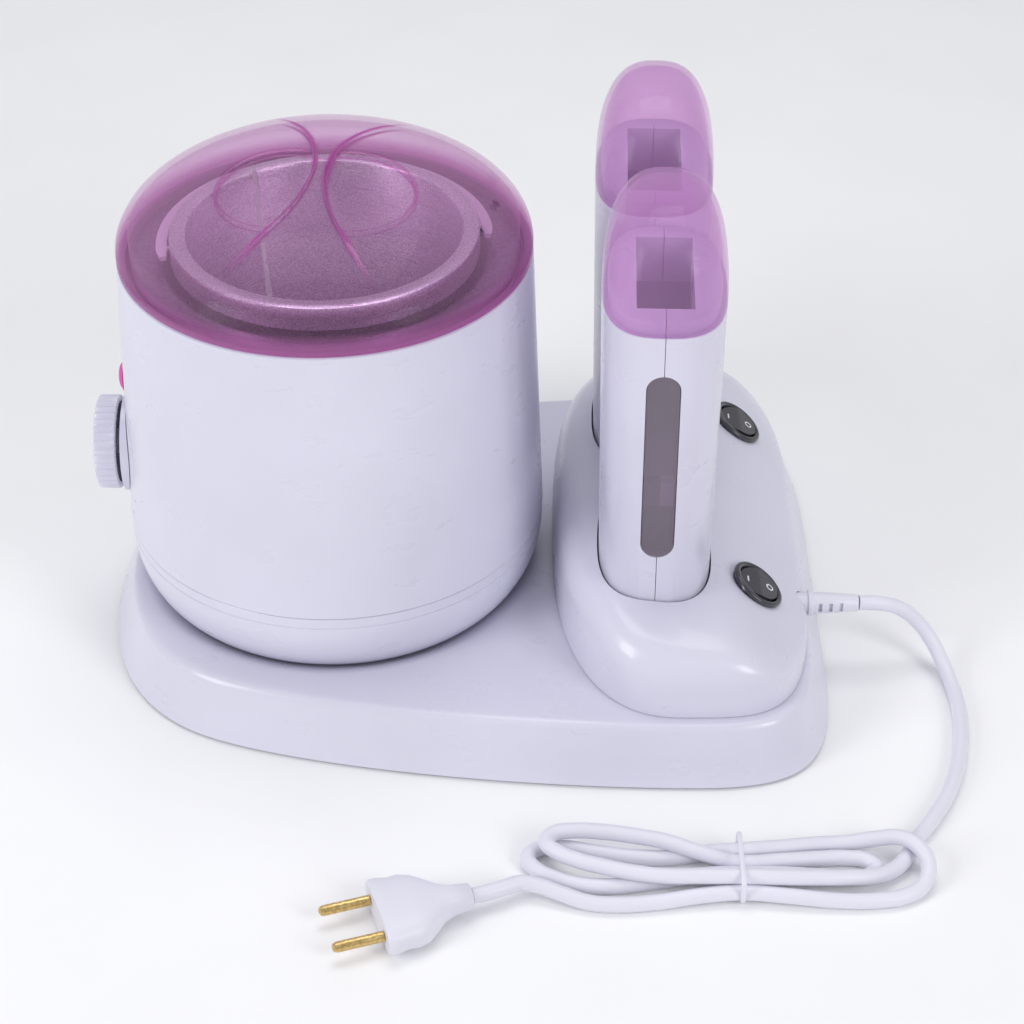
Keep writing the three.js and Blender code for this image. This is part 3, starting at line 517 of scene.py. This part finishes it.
def add_studio():
    floor = solid("studio_floor", block((-4000, -4000, -20), (4000, 4000, 0)))
    floor.data.materials.append(MATERIAL["floor"])
    world = bpy.data.worlds.new("studio")
    world.use_nodes = True
    world.node_tree.nodes["Background"].inputs[0].default_value = (0.95, 0.96, 1.0, 1)
    world.node_tree.nodes["Background"].inputs[1].default_value = 0.5
    bpy.context.scene.world = world
    middle = (0, 0, 0.08)
    add_light("softbox_left", (-1.15, -0.75, 0.75), middle, (0.5, 0.9), 8)
    add_light("softbox_right", (1.0, -1.0, 0.85), middle, (0.5, 0.8), 7)
    add_light("softbox_top", (0.0, 0.35, 1.7), middle, (1.1, 0.8), 7.5)
    bpy.context.scene.view_settings.view_transform = "Standard"


# ---------------------------------------------------------------- mains lead


def add_cord():
    curve = bpy.data.curves.new("mains_lead", "CURVE")
    curve.dimensions = "3D"
    curve.bevel_depth = CORD_DIAMETER / 2 * MM
    curve.bevel_resolution = 6
    curve.resolution_u = 8
    curve.use_fill_caps = True
    spline = curve.splines.new("BEZIER")
    spline.bezier_points.add(len(CORD_ROUTE) - 1)
    for knot, point in zip(spline.bezier_points, CORD_ROUTE):
        knot.co = Vector(point) * MM
        knot.handle_left_type = knot.handle_right_type = "AUTO"
    lead = bpy.data.objects.new("mains_lead", curve)
    bpy.context.scene.collection.objects.link(lead)
    lead.data.materials.append(MATERIAL["cord"])
    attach(lead, "base")
    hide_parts("mains_cord", "cord_hank", "mains_cord_tail")
    return lead


def strain_relief():
    """Tapered sleeve with a collar and three pairs of flexing slots."""
    start = 137.5
    profile = [
        (0, RELIEF_LOW.x), (5.1, RELIEF_LOW.x), (5.1, RELIEF_LOW.x + 2), (4.3, RELIEF_LOW.x + 2),
        (4.3, start - 0.1),
        (5.2, start + 0.3), (5.2, start + 1.6), (4.4, start + 2.2), (4.1, start + 10),
        (3.4, RELIEF_HIGH.x - 0.4),
        (3.1, RELIEF_HIGH.x), (0, RELIEF_HIGH.x),
    ]
    along_x = Matrix.Rotation(math.radians(90), 4, "Y")
    place = move(0, (RELIEF_LOW.y + RELIEF_HIGH.y) / 2, (RELIEF_LOW.z + RELIEF_HIGH.z) / 2) @ along_x
    sleeve = solid("strain_sleeve", turned(profile, 64), place)
    for i in range(3):
        x = start + 4.2 + 4.2 * i
        for side in (-1, 1):
            y = (RELIEF_LOW.y + RELIEF_HIGH.y) / 2
            near, far = sorted((y + side * 2.6, y + side * 6))
            slot = block((x, near, 29.2), (x + 1.5, far, 33.2))
            sleeve = combine(sleeve, solid("slot", slot))
    return finish(sleeve, "base", MATERIAL["cord"], ["strain_relief"], 0.25)


def cord_tie():
    """A thin wire tie round the waist of the bundle."""
    low, high = -186.1, -156.2
    outline = superellipse((high - low) / 2 - 0.5, 5.8, 5, 96)
    middle = ((low + high) / 2, 6.75)
    rings = []
    for across, up in outline:
        centre = Vector((TIE_X, middle[0] + across, middle[1] + up))
        out = Vector((0, across / ((high - low) / 2) ** 2, up / 6.2 ** 2)).normalized()
        ring = [centre + out * 0.45 * math.sin(a) + Vector((0.95 * math.cos(a), 0, 0))
                for a in (2 * math.pi * k / 10 for k in range(10))]
        rings.append(ring)
    rings.append(rings[0])
    tie = solid("wire_tie", loft(rings, first=False, last=False))
    return finish(tie, "base", MATERIAL["cord"], ["cord_tie"])


def mains_plug():
    """Moulded two-pin plug with a grip waist."""
    sections = [
        (0, 3.6, 3.6), (0.6, 4.4, 4.4), (8, 5.2, 5.2), (12, 7.4, 5.7), (16, 11.6, 6.2), (20, 15, 6.6),
        (24, 16.4, 6.8),
        (28, 16.2, 6.6), (32, 17.2, 6.8), (34.4, 17.3, 6.7), (35.4, 16.6, 6.1), (35.5, 14, 5),
    ]
    rings = [[(x, a, b) for a, b in superellipse(wide, tall, 3, 64)] for x, wide, tall in sections]
    place = move(*PLUG_NECK) @ turn_z(PLUG_TURN)
    plug = solid("moulded_plug", loft(rings), place)
    return finish(plug, "base", MATERIAL["cord"], ["mains_plug"], angle=50)


def plug_pin(index, offset):
    """Round pin with a domed tip."""
    profile = [(0, 35.8), (2, 35.8), (2, 53), (1.6, 54.3), (0.8, 54.8), (0, 54.8)]
    along_x = Matrix.Rotation(math.radians(90), 4, "Y")
    place = move(*PLUG_NECK) @ turn_z(PLUG_TURN) @ move(0, offset, 0) @ along_x
    pin = solid(f"round_pin_{index}", turned(profile, 32), place)
    return finish(pin, "base", MATERIAL["brass"], [f"plug_pin_{index}"])


def add_mains_lead():
    lead = add_cord()
    relief = strain_relief()
    tie = cord_tie()
    plug = mains_plug()
    pins = [plug_pin(1, -9.5), plug_pin(2, 9.5)]


# ---------------------------------------------------------------- base


def bezier(a, b, c, d, steps):
    points = []
    for i in range(steps):
        t = i / steps
        s = 1 - t
        points.append(tuple(
            s ** 3 * a[k] + 3 * s * s * t * b[k] + 3 * s * t * t * c[k] + t ** 3 * d[k] for k in range(2)))
    return points


def base_outline():
    left, right, deep = -146.4, 146.2, -122.8
    half = bezier((left, 0), (left, -40), (-135.5, -78), (-98, -94.2), 44)
    half += bezier((-98, -94.2), (-62, -110), (20, deep), (91, deep), 64)
    half += bezier((91, deep), (151, deep), (right, -92), (right, 0), 64)
    half.append((right, 0))
    return half + [(x, -y) for x, y in reversed(half[1:-1])]


def inset(points, distance):
    moved = []
    for i, (x, y) in enumerate(points):
        before, after = Vector(points[i - 1]), Vector(points[(i + 1) % len(points)])
        along = (after - before).normalized()
        moved.append((x - along.y * distance, y + along.x * distance))
    return moved


def base_skin():
    """Sloping skirt, rolled upper edge, and a round dish that takes the pot's bottom."""
    outline = base_outline()
    levels = [(3.2, 6), (BASE_WALL, 1.2), (2.2, 1), (0.5, 1), (0, 1.5), (3.6, 11), (7.2, 20.6)]
    levels += bezier((7.4, 21.2), (8.3, 23.8), (9.2, BASE_TOP), (12.4, BASE_TOP), 10)
    levels += [(13, BASE_TOP), (22, BASE_TOP)]
    rings = [[(x, y, z) for x, y in inset(outline, distance)] for distance, z in levels]
    skin = solid("base_skin", loft(rings))
    dish = [(0, DISH["floor"])]
    for i in range(17):
        share = i / 16
        radius = DISH["flat"] + (DISH["radius"] - DISH["flat"]) * share
        dish.append((radius, DISH["floor"] + (BASE_TOP + 0.01 - DISH["floor"]) * smoothstep(share)))
    dish += [(DISH["radius"], 40), (0, 40)]
    skin = combine(skin, solid("dish", turned(dish, 160), move(POT_X, 0, 0)))
    return finish(skin, "base", MATERIAL["shell"], ["base_shell"], angle=40)


# ---------------------------------------------------------------- dock


def dock_top(x):
    """Gently sloping deck that rolls over into the steeper switch panel."""
    deck = 64 - 0.155 * (x - 47)
    panel = SWITCH.z - math.tan(SWITCH_TILT) * (x - SWITCH.x)
    roll = 2.0
    low = min(deck, panel)
    return low - roll * math.log1p(math.exp(-abs(deck - panel) / roll))


def dock_ring(share, count=160):
    ring = []
    for i in range(count):
        angle = 2 * math.pi * i / count
        power = 2.5 + 1.4 * (math.cos(angle) >= 0)
        half = (DOCK_X - DOCK_LOW.x) if math.cos(angle) < 0 else (DOCK_HIGH.x - DOCK_X)
        x = DOCK_X + half * share * signed_power(math.cos(angle), 2 / power)
        y = DOCK_HIGH.y * share * signed_power(math.sin(angle), 2 / power)
        crown = 5 + 4 * smoothstep(math.cos(angle), -0.2, 0.6)
        rise = (1 - share ** crown) ** (1 / crown)
        ring.append((x, y, DOCK_FOOT + (dock_top(x) - DOCK_FOOT) * rise))
    return ring


def handpiece_place(side):
    return move(HANDPIECE_X, side * HANDPIECE_Y, 0) @ turn_z(HANDPIECE_TURN)


def prism(outline, low, high):
    return loft([[(x, y, z) for x, y in outline] for z in (low, high)])


def dock_skin():
    shares = [1, 0.9999, 0.9995, 0.9985, 0.997, 0.994, 0.99, 0.983, 0.974, 0.962, 0.948, 0.93, 0.91, 0.885]
    shares += [0.86 - 0.04 * i for i in range(21)] + [0.03]
    skin = solid("dock_skin", loft([dock_ring(share) for share in shares]))
    for side in (-1, 1):
        socket = prism(superellipse(22.1 + 0.5, 34.6 + 0.5, HANDPIECE_POWER), SOCKET_FLOOR, 90)
        skin = combine(skin, solid("socket", socket, handpiece_place(side)))
        skin = combine(skin, solid("switch_hole", rod(10.6, -9, 6), switch_place(side)))
    relief_hole = Matrix.Rotation(math.radians(90), 4, "Y")
    hole = solid("relief_hole", rod(4.6, 125, 145), move(0, -45, 31) @ relief_hole)
    skin = combine(skin, hole)
    return finish(skin, "base", MATERIAL["shell"], ["dock_housing"], bevel=0.5, angle=42)


def switch_place(side):
    return move(SWITCH.x, side * SWITCH.y, SWITCH.z) @ Matrix.Rotation(SWITCH_TILT, 4, "Y")


def switch_bezel(side, name):
    profile = [
        (0, -12), (10.3, -12), (10.3, 0.3), (11.6, 0.3), (11.6, 1.2), (11.3, 1.7), (10.8, 2.0),
        (9.9, 2.0), (9.3, 1.5),
        (9.1, 0.6), (9.1, -4.6), (0, -4.6),
    ]
    bezel = solid(f"switch_bezel_{name}", turned(profile, 96), switch_place(side))
    return finish(bezel, "base", MATERIAL["black"], [f"switch_body_{name}"], angle=50)


def switch_rocker(side, name):
    """Round rocker with two facets that meet in a low ridge, its left half pressed down."""
    half = 8.6
    facets = [(-half, -3.2), (half, -3.2), (half, 1.2), (1.2, 2.3), (0, 2.45), (-1.2, 2.3), (-half, 1.2)]
    points = [(x, y, z) for y in (-half - 1, half + 1) for x, z in facets]
    count = len(facets)
    faces = [tuple(range(count)), tuple(range(2 * count - 1, count - 1, -1))]
    faces += [(i, (i + 1) % count, count + (i + 1) % count, count + i) for i in range(count)]
    tilt = Matrix.Rotation(math.radians(-8), 4, "Y")
    rocker = solid(f"switch_rocker_{name}", rod(half, -8, 8, 96), switch_place(side))
    rocker = combine(rocker, solid("facets", (points, faces), switch_place(side) @ tilt), "INTERSECT")
    return finish(rocker, f"rocker_{name}", MATERIAL["black"], [f"rocker_{name}"], 0.35, 20)


def switch_marks(side, name):
    """The I and O marks, moulded a hair above the rocker's two facets."""
    slope = math.atan2(2.4 - 1.2, 8.6)
    tilt = Matrix.Rotation(math.radians(-8), 4, "Y")
    for mark, x in (("on", -4.9), ("off", 4.9)):
        lean = Matrix.Rotation(slope if x > 0 else -slope, 4, "Y")
        face = 2.4 - 1.2 * abs(x) / 8.6
        place = switch_place(side) @ tilt @ move(x, 0, face + 0.02) @ lean
        if mark == "on":
            shape = prism(superellipse(0.32, 1.7, 5, 32), -0.2, 0.06)
        else:
            shape = turned([(1.15, -0.2), (1.75, -0.2), (1.75, 0.06), (1.15, 0.06)], 48)
        piece = solid(f"switch_mark_{mark}_{name}", shape, place)
        finish(piece, f"rocker_{name}", MATERIAL["mark"])


def add_dock():
    dock_skin()
    for side, name in ((-1, "front"), (1, "back")):
        switch_bezel(side, name)
        switch_rocker(side, name)
        switch_marks(side, name)


# ---------------------------------------------------------------- pot


def pot_wall():
    """Tapered outer wall with a rolled rim and a ledge inside for the well's flange."""
    seam = POT_SEAM_RADIUS
    profile = [
        (seam - 0.35, POT_SEAM), (seam, POT_SEAM + 0.4), (80.08, POT_RIM - 1.4), (79.9, POT_RIM - 0.6),
        (79.4, POT_RIM - 0.15), (78.9, POT_RIM), (77.8, POT_RIM), (77.5, POT_RIM - 0.3),
        (77.5, 165.5), (70, 165.5),
        (70, 163), (77.7, 163), (seam - POT_WALL, POT_SEAM),
    ]
    wall = solid("pot_wall", turned(profile, 192), move(POT_X, 0, 0))
    return finish(wall, "base", MATERIAL["shell"], ["pot_shell"])


def pot_bottom():
    """Rounded bottom, with a fine moulding line just under the seam."""
    top = POT_SEAM - GAP
    wall = POT_SEAM_RADIUS - 0.2
    curve = []
    for i in range(25):
        angle = math.radians(90 * i / 24)
        curve.append((65 + (wall - 65) * math.cos(angle), 47.5 - (47.5 - POT_FLOOR) * math.sin(angle)))
    line = [(wall, 48.5), (wall - 0.3, 48.65), (wall - 0.3, 48.9), (wall, 49.05)]
    profile = [(14, POT_FLOOR), *reversed(curve), *line]
    profile += [(wall, top - 0.3), (wall - 0.3, top), (wall - POT_WALL, top)]
    profile += [(wall - POT_WALL, 47.5), (63, POT_FLOOR + POT_WALL + 3), (14, POT_FLOOR + POT_WALL)]
    bottom = solid("pot_bottom", turned(profile, 192), move(POT_X, 0, 0))
    return finish(bottom, "base", MATERIAL["shell"], ["pot_bottom_cap"])


def well_lining():
    """Dark heating well, with the flat annulus that shows round the liner."""
    profile = [
        (0, 101), (59, 101), (63.2, 165.8), (76.5, 165.8), (76.5, 166.9), (76.1, 167.3),
        (63.4, 167.3), (62.3, 167),
        (61.4, 166), (58.2, 106), (57.4, 104), (55, 103), (0, 103),
    ]
    well = solid("well_lining", turned(profile, 160), move(POT_X, 0, 0))
    return finish(well, "base", MATERIAL["well"], ["heating_well"])


def dial_plate():
    """Round plate behind the knob, cut to the pot's wall."""
    plate_place = move(POT_X, 0, KNOB_Z) @ Matrix.Rotation(math.radians(-90), 4, "Y")
    plate = solid("dial_plate", rod(19.8, 76, 84.6, 96), plate_place)
    wall = turned([
        (0, POT_SEAM), (POT_SEAM_RADIUS + GAP, POT_SEAM), (POT_RIM_RADIUS + GAP, POT_RIM), (0, POT_RIM)], 192)
    plate = combine(plate, solid("wall", wall, move(POT_X, 0, 0)))
    plate = combine(plate, solid("hole", rod(6.2, 60, 95), plate_place))
    return finish(plate, "base", MATERIAL["shell"], ["knob_dial"], bevel=0.3)


def knob():
    """Fluted knob, hollow behind round a central hub, with a pointer groove on its face."""
    count = 36 * 8

    def fluted(extra, z):
        ring = []
        for i in range(count):
            angle = 2 * math.pi * i / count
            radius = 18.55 + 0.45 * math.cos(36 * angle) - extra
            ring.append((radius * math.cos(angle), radius * math.sin(angle), z))
        return ring

    def plain(radius, z):
        return [(radius * math.cos(2 * math.pi * i / count), radius * math.sin(2 * math.pi * i / count), z)
                for i in range(count)]

    rings = [
        plain(3.3, 6.8), plain(3.3, 0), plain(5.2, 0), plain(5.2, 6.6), plain(16.4, 6.6), plain(16.4, 0.3),
        plain(16.8, 0), fluted(0.5, 0), fluted(0, 0.5), fluted(0, 7.6), fluted(0.35, 8.5), fluted(1.3, 9),
        plain(15.6, 9), plain(14.6, 8.5), plain(3, 8.5),
    ]
    place = move(KNOB_BACK_X, 0, KNOB_Z) @ Matrix.Rotation(math.radians(-90), 4, "Y")
    body = solid("fluted_knob", loft(rings), place)
    body = combine(body, solid("pointer", block((9, -0.7, 8), (17.4, 0.7, 10)), place))
    return finish(body, "knob", MATERIAL["shell"], ["temperature_knob"], angle=30)


def lamp():
    """Domed pilot lens in a thin collar."""
    taper = (POT_RIM_RADIUS - POT_SEAM_RADIUS) * (LAMP_Z - POT_SEAM) / (POT_RIM - POT_SEAM)
    seat = POT_SEAM_RADIUS + taper + 0.35
    profile = [
        (0, 2.3), (1.6, 2.22), (3, 2), (4.2, 1.6), (5, 1.15), (5.2, 0.7), (5.9, 0.6), (6.3, 0.3),
        (6.3, 0), (5, 0), (5, -9), (0, -9),
    ]
    place = move(POT_X - seat, 0, LAMP_Z) @ Matrix.Rotation(math.radians(-90), 4, "Y")
    lens = solid("pilot_lens", turned(profile, 64), place)
    return finish(lens, "base", MATERIAL["lamp"], ["indicator_lamp"], angle=50)


def add_pot():
    pot_wall()
    pot_bottom()
    well_lining()
    dial_plate()
    knob()
    lamp()


# ---------------------------------------------------------------- liner and lid


def liner():
    """Drawn metal pan with a wide rolled rim and a turned-down skirt."""
    skirt = LINER_RIM_RADIUS - 1.6
    profile = [
        (0, LINER_FLOOR), (50, LINER_FLOOR), (51.4, LINER_FLOOR + 0.6), (52, LINER_FLOOR + 2), (55, 176.4),
        (skirt, 176.4), (skirt, 169.2), (LINER_RIM_RADIUS, 169.2), (LINER_RIM_RADIUS, LINER_TOP - 1.4),
        (LINER_RIM_RADIUS - 0.35, LINER_TOP - 0.45), (LINER_RIM_RADIUS - 1.2, LINER_TOP), (54.3, LINER_TOP),
        (53.3, LINER_TOP - 0.35), (52.8, LINER_TOP - 1.3), (50, LINER_FLOOR + 5), (49.2, LINER_FLOOR + 3),
        (47, LINER_FLOOR + 2), (0, LINER_FLOOR + 2),
    ]
    pan = solid("liner_pan", turned(profile, 192), move(POT_X, 0, 0))
    return finish(pan, "liner", MATERIAL["liner"], ["wax_liner"], angle=28)


def wiper():
    profile = [(0, -52.4), (0.8, -52.4), (1.15, -52), (1.15, 52), (0.8, 52.4), (0, 52.4)]
    along_y = Matrix.Rotation(math.radians(90), 4, "X")
    place = move(POT_X, 0, 0) @ turn_z(LINER_TURN) @ move(WIPER_X, 0, 177.6) @ along_y
    bar = solid("wiper_wire", turned(profile, 32), place)
    return finish(bar, "liner", MATERIAL["steel"], ["wiper_bar"])


def bail():
    """Flat hoop handle that lies round the liner's rim, with a pin at each end."""
    overhang = math.radians(7)
    steps = 120
    rings = []
    for i in range(steps + 1):
        angle = -overhang + (math.pi + 2 * overhang) * i / steps
        end = min(i, steps - i)
        width = 2.2 * min(1.0, 0.55 + 0.15 * end)
        ring = []
        for across, up in superellipse(width, 1.0, 4, 20):
            radius = 62.5 + across
            ring.append((radius * math.cos(angle), radius * math.sin(angle), HANDLE_Z + up))
        rings.append(ring)
    place = move(POT_X, 0, 0) @ turn_z(LINER_TURN)
    hoop = solid("bail_hoop", loft(rings), place)
    for side in (-1, 1):
        pin_place = place @ move(0, 0, HANDLE_Z) @ Matrix.Rotation(math.radians(90) * side, 4, "Y")
        hoop = combine(hoop, solid("pin", rod(0.9, 58.3, 61.5, 24), pin_place), "UNION")
    return finish(hoop, "liner_handle", MATERIAL["bail"], ["liner_handle"], angle=50)


def lid_scoop(x, y):
    beyond = abs(x) - (2.6 + (y + 4) ** 2 / 128)
    if beyond <= 0:
        return 0.0
    dish = 1 - math.hypot(abs(x) - 12, y + 15) ** 2 / 26 ** 2
    fade = max(0.0, 1 - ((y + 4) / 56) ** 2)
    shallow = 1.1 * fade * math.exp(-beyond / 8)
    return (7 * max(0.0, dish) ** 0.8 + shallow) * (1 - math.exp(-beyond / 1.5))


def lid_ring(angle, radius, rise, count):
    ring = []
    for i in range(count):
        spin = 2 * math.pi * i / count
        x = radius * math.sin(angle) * math.cos(spin)
        y = radius * math.sin(angle) * math.sin(spin)
        ring.append((x, y, LID_SHOULDER + rise * math.cos(angle) - lid_scoop(x, y)))
    return ring


def lid():
    """Clear dome with a grip ridge between two dished scoops, a locating lip and three vents."""
    count = 256
    lip = 74.8
    inner_radius = POT_RIM_RADIUS - LID_WALL - 0.1
    lip_angle = math.asin(lip / inner_radius)
    inner_rise = LID_RISE - LID_WALL
    rings = [lid_ring(lip_angle * (1 + 44 * i) / 1981, inner_radius, inner_rise, count) for i in range(46)]
    foot = [
        (lip, 168.3), (lip + 0.3, 168), (76.1, 168), (76.4, 168.3), (76.4, LID_FOOT),
        (POT_RIM_RADIUS - 0.5, LID_FOOT), (POT_RIM_RADIUS - 0.1, LID_FOOT + 0.3),
    ]
    for radius, z in foot:
        rings.append([
            (radius * math.cos(2 * math.pi * i / count), radius * math.sin(2 * math.pi * i / count), z)
            for i in range(count)
        ])
    for i in range(70):
        angle = math.radians(90 * (70 - i) / 70.5)
        rings.append(lid_ring(angle, POT_RIM_RADIUS, LID_RISE, count))
    place = move(POT_X, 0, 0) @ turn_z(LID_TURN)
    dome = solid("lid_dome", loft(rings), place)
    for degrees in (17, 0, -17):
        spin = place @ turn_z(math.radians(degrees))
        start, end = Vector((58, 0, 182)), Vector((74, 0, 202))
        lean = (end - start).to_track_quat("Z", "Y").to_matrix().to_4x4()
        vent = rod(2, 0, (end - start).length, 32)
        dome = combine(dome, solid("vent", vent, spin @ Matrix.Translation(start) @ lean))
    return finish(dome, "lid", MATERIAL["lid"], ["lid"], angle=60)


def add_liner_and_lid():
    liner()
    wiper()
    bail()
    lid()


# ---------------------------------------------------------------- cartridge heaters


def handpiece_ring(z, distance, count=128):
    a = 22 + (z - 60) / 120 * 1.3 - distance
    b = 34.5 + (z - 60) / 120 * 2.5 - distance
    return [(x, y, z) for x, y in superellipse(a, b, HANDPIECE_POWER, count)]


def handpiece_outside(distance):
    step = HANDPIECE_RIM - GAP
    levels = [
        (HANDPIECE_FOOT, 1.5), (HANDPIECE_FOOT + 0.4, 0.6), (HANDPIECE_FOOT + 1.5, 0),
        (step - 0.3, 0), (step, 0.3),
        (step + 0.02, 2.4), (HANDPIECE_TOP - 0.8, 2.4), (HANDPIECE_TOP - 0.25, 2.65), (HANDPIECE_TOP, 3.2),
    ]
    return loft([handpiece_ring(z, extra + distance) for z, extra in levels])


def sight_slot(half_width, low, high):
    """Round-ended slot through the front wall, as a prism along Y."""
    outline = []
    for i in range(33):
        angle = math.pi * i / 32
        outline.append((half_width * math.cos(angle), high - half_width + half_width * math.sin(angle)))
    for i in range(33):
        angle = math.pi + math.pi * i / 32
        outline.append((half_width * math.cos(angle), low + half_width + half_width * math.sin(angle)))
    return loft([[(x, y, z) for x, z in outline] for y in (-28, -44)])


def throat(extra, low, high):
    x, y = SLOT_HALF[0] + extra, SLOT_HALF[1] + extra
    return block((-x, -y, low), (x, y, high))


def handpiece_body():
    hollow = loft([handpiece_ring(z, d) for z, d in ((32.4, 2.2), (176.4, 2.2), (177.4, 4.6), (182.2, 4.6))])
    body = combine(solid("handpiece", handpiece_outside(0)), solid("hollow", hollow))
    body = combine(body, solid("collar", throat(1.6, 165, HANDPIECE_TOP - 0.5)), "UNION")
    body = combine(body, solid("throat", throat(0, 160, 190)))
    return combine(body, solid("sight", sight_slot(6.4, 79.2, 162.3)))


def handpiece_half(body, name, side, label):
    """One half of the split casing, cut along its middle seam."""
    half = body.copy()
    half.data = body.data.copy()
    half.name = f"handpiece_{name}_{label}_half"
    bpy.context.scene.collection.objects.link(half)
    keep = block((-40, -60, 0), (-0.12, 60, 260)) if label == "left" else block((0.12, -60, 0), (40, 60, 260))
    half = combine(half, solid("keep", keep), "INTERSECT")
    half.data.transform(frame_place(side))
    nodes = [f"handpiece_{name}_{label}_shell"]
    return finish(half, f"handpiece_{name}", MATERIAL["handpiece"], nodes, bevel=0.28, angle=40)


def frame_place(side):
    place = handpiece_place(side)
    place.translation *= MM
    return place


def handpiece_pane(name, side):
    pane = combine(solid(f"handpiece_{name}_pane", sight_slot(6.1, 79.5, 162)),
                   solid("front", handpiece_outside(0.25)), "INTERSECT")
    pane = combine(pane, solid("back", handpiece_outside(1.9)))
    pane.data.transform(frame_place(side))
    nodes = [f"handpiece_{name}_window"]
    return finish(pane, f"handpiece_{name}", MATERIAL["window"], nodes, 0.2)


def handpiece_lining(name, side):
    """Coated well that holds the cartridge, open towards the window."""
    tube = solid(f"handpiece_{name}_lining", throat(1.3, 98.5, 164.7))
    tube = combine(tube, solid("inside", throat(0, 100, 170)))
    tube = combine(tube, solid("opening", block((-5.6, -32, 108), (5.6, -24, 158))))
    tube.data.transform(frame_place(side))
    nodes = [f"handpiece_{name}_well"]
    return finish(tube, f"handpiece_{name}", MATERIAL["throat"], nodes, 0.3)


def handpiece_cap(name, side):
    power = 2 / 2.45

    def skin(wall, angles):
        rings = []
        for degrees in angles:
            angle = math.radians(degrees)
            share = math.cos(angle) ** power
            z = HANDPIECE_RIM + (CAP_HEIGHT - wall) * math.sin(angle) ** power
            outline = superellipse((23.29 - wall) * share, (36.98 - wall) * share, HANDPIECE_POWER)
            rings.append([(x, y, z) for x, y in outline])
        return rings

    inside = skin(CAP_WALL, [89.3, 87, 84, 80, 75, 70, 64, 58, 52, 46, 40, 34, 28, 22, 17, 12, 8, 4, 1.5, 0])
    outside = skin(0, [0, 1.5, *range(4, 81, 4), 83.5, 86.5, 89.3])
    cap = solid(f"handpiece_{name}_hood", loft(inside + outside), handpiece_place(side))
    body = f"handpiece_{name}_cap"
    return finish(cap, body, MATERIAL["cap"], [body], angle=50)


def add_handpieces():
    body = handpiece_body()
    for side, name in ((-1, "front"), (1, "back")):
        for label in ("left", "right"):
            handpiece_half(body, name, side, label)
        handpiece_pane(name, side)
        handpiece_lining(name, side)
        handpiece_cap(name, side)
    bpy.data.objects.remove(body)


# ---------------------------------------------------------------- frame parts that stay


def dress_frame_parts():
    """Gives the small CAD parts that stay in view or inside their own finishes."""
    finishes = {
        "foot_": "rubber", "base_screw_": "steel", "pot_screw_": "steel", "bottom_cover": "shell",
        "heater_band": "steel",
        "pot_thermostat": "inner", "thermal_fuse": "inner", "terminal_block": "inner",
        "thermostat_spindle": "steel",
        "socket_contact_": "brass",
    }
    for name in ("front", "back"):
        finishes[f"handpiece_{name}_thermostat"] = "black"
        finishes[f"handpiece_{name}_heater"] = "pad"
        finishes[f"handpiece_{name}_contact"] = "brass"
    for node_name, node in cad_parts.items():
        for start, look in finishes.items():
            if node_name.startswith(start):
                for place in node.material_slots:
                    place.material = MATERIAL[look]


add_camera()
add_mains_lead()
add_studio()
base_skin()
add_dock()
add_pot()
add_liner_and_lid()
add_handpieces()
dress_frame_parts()
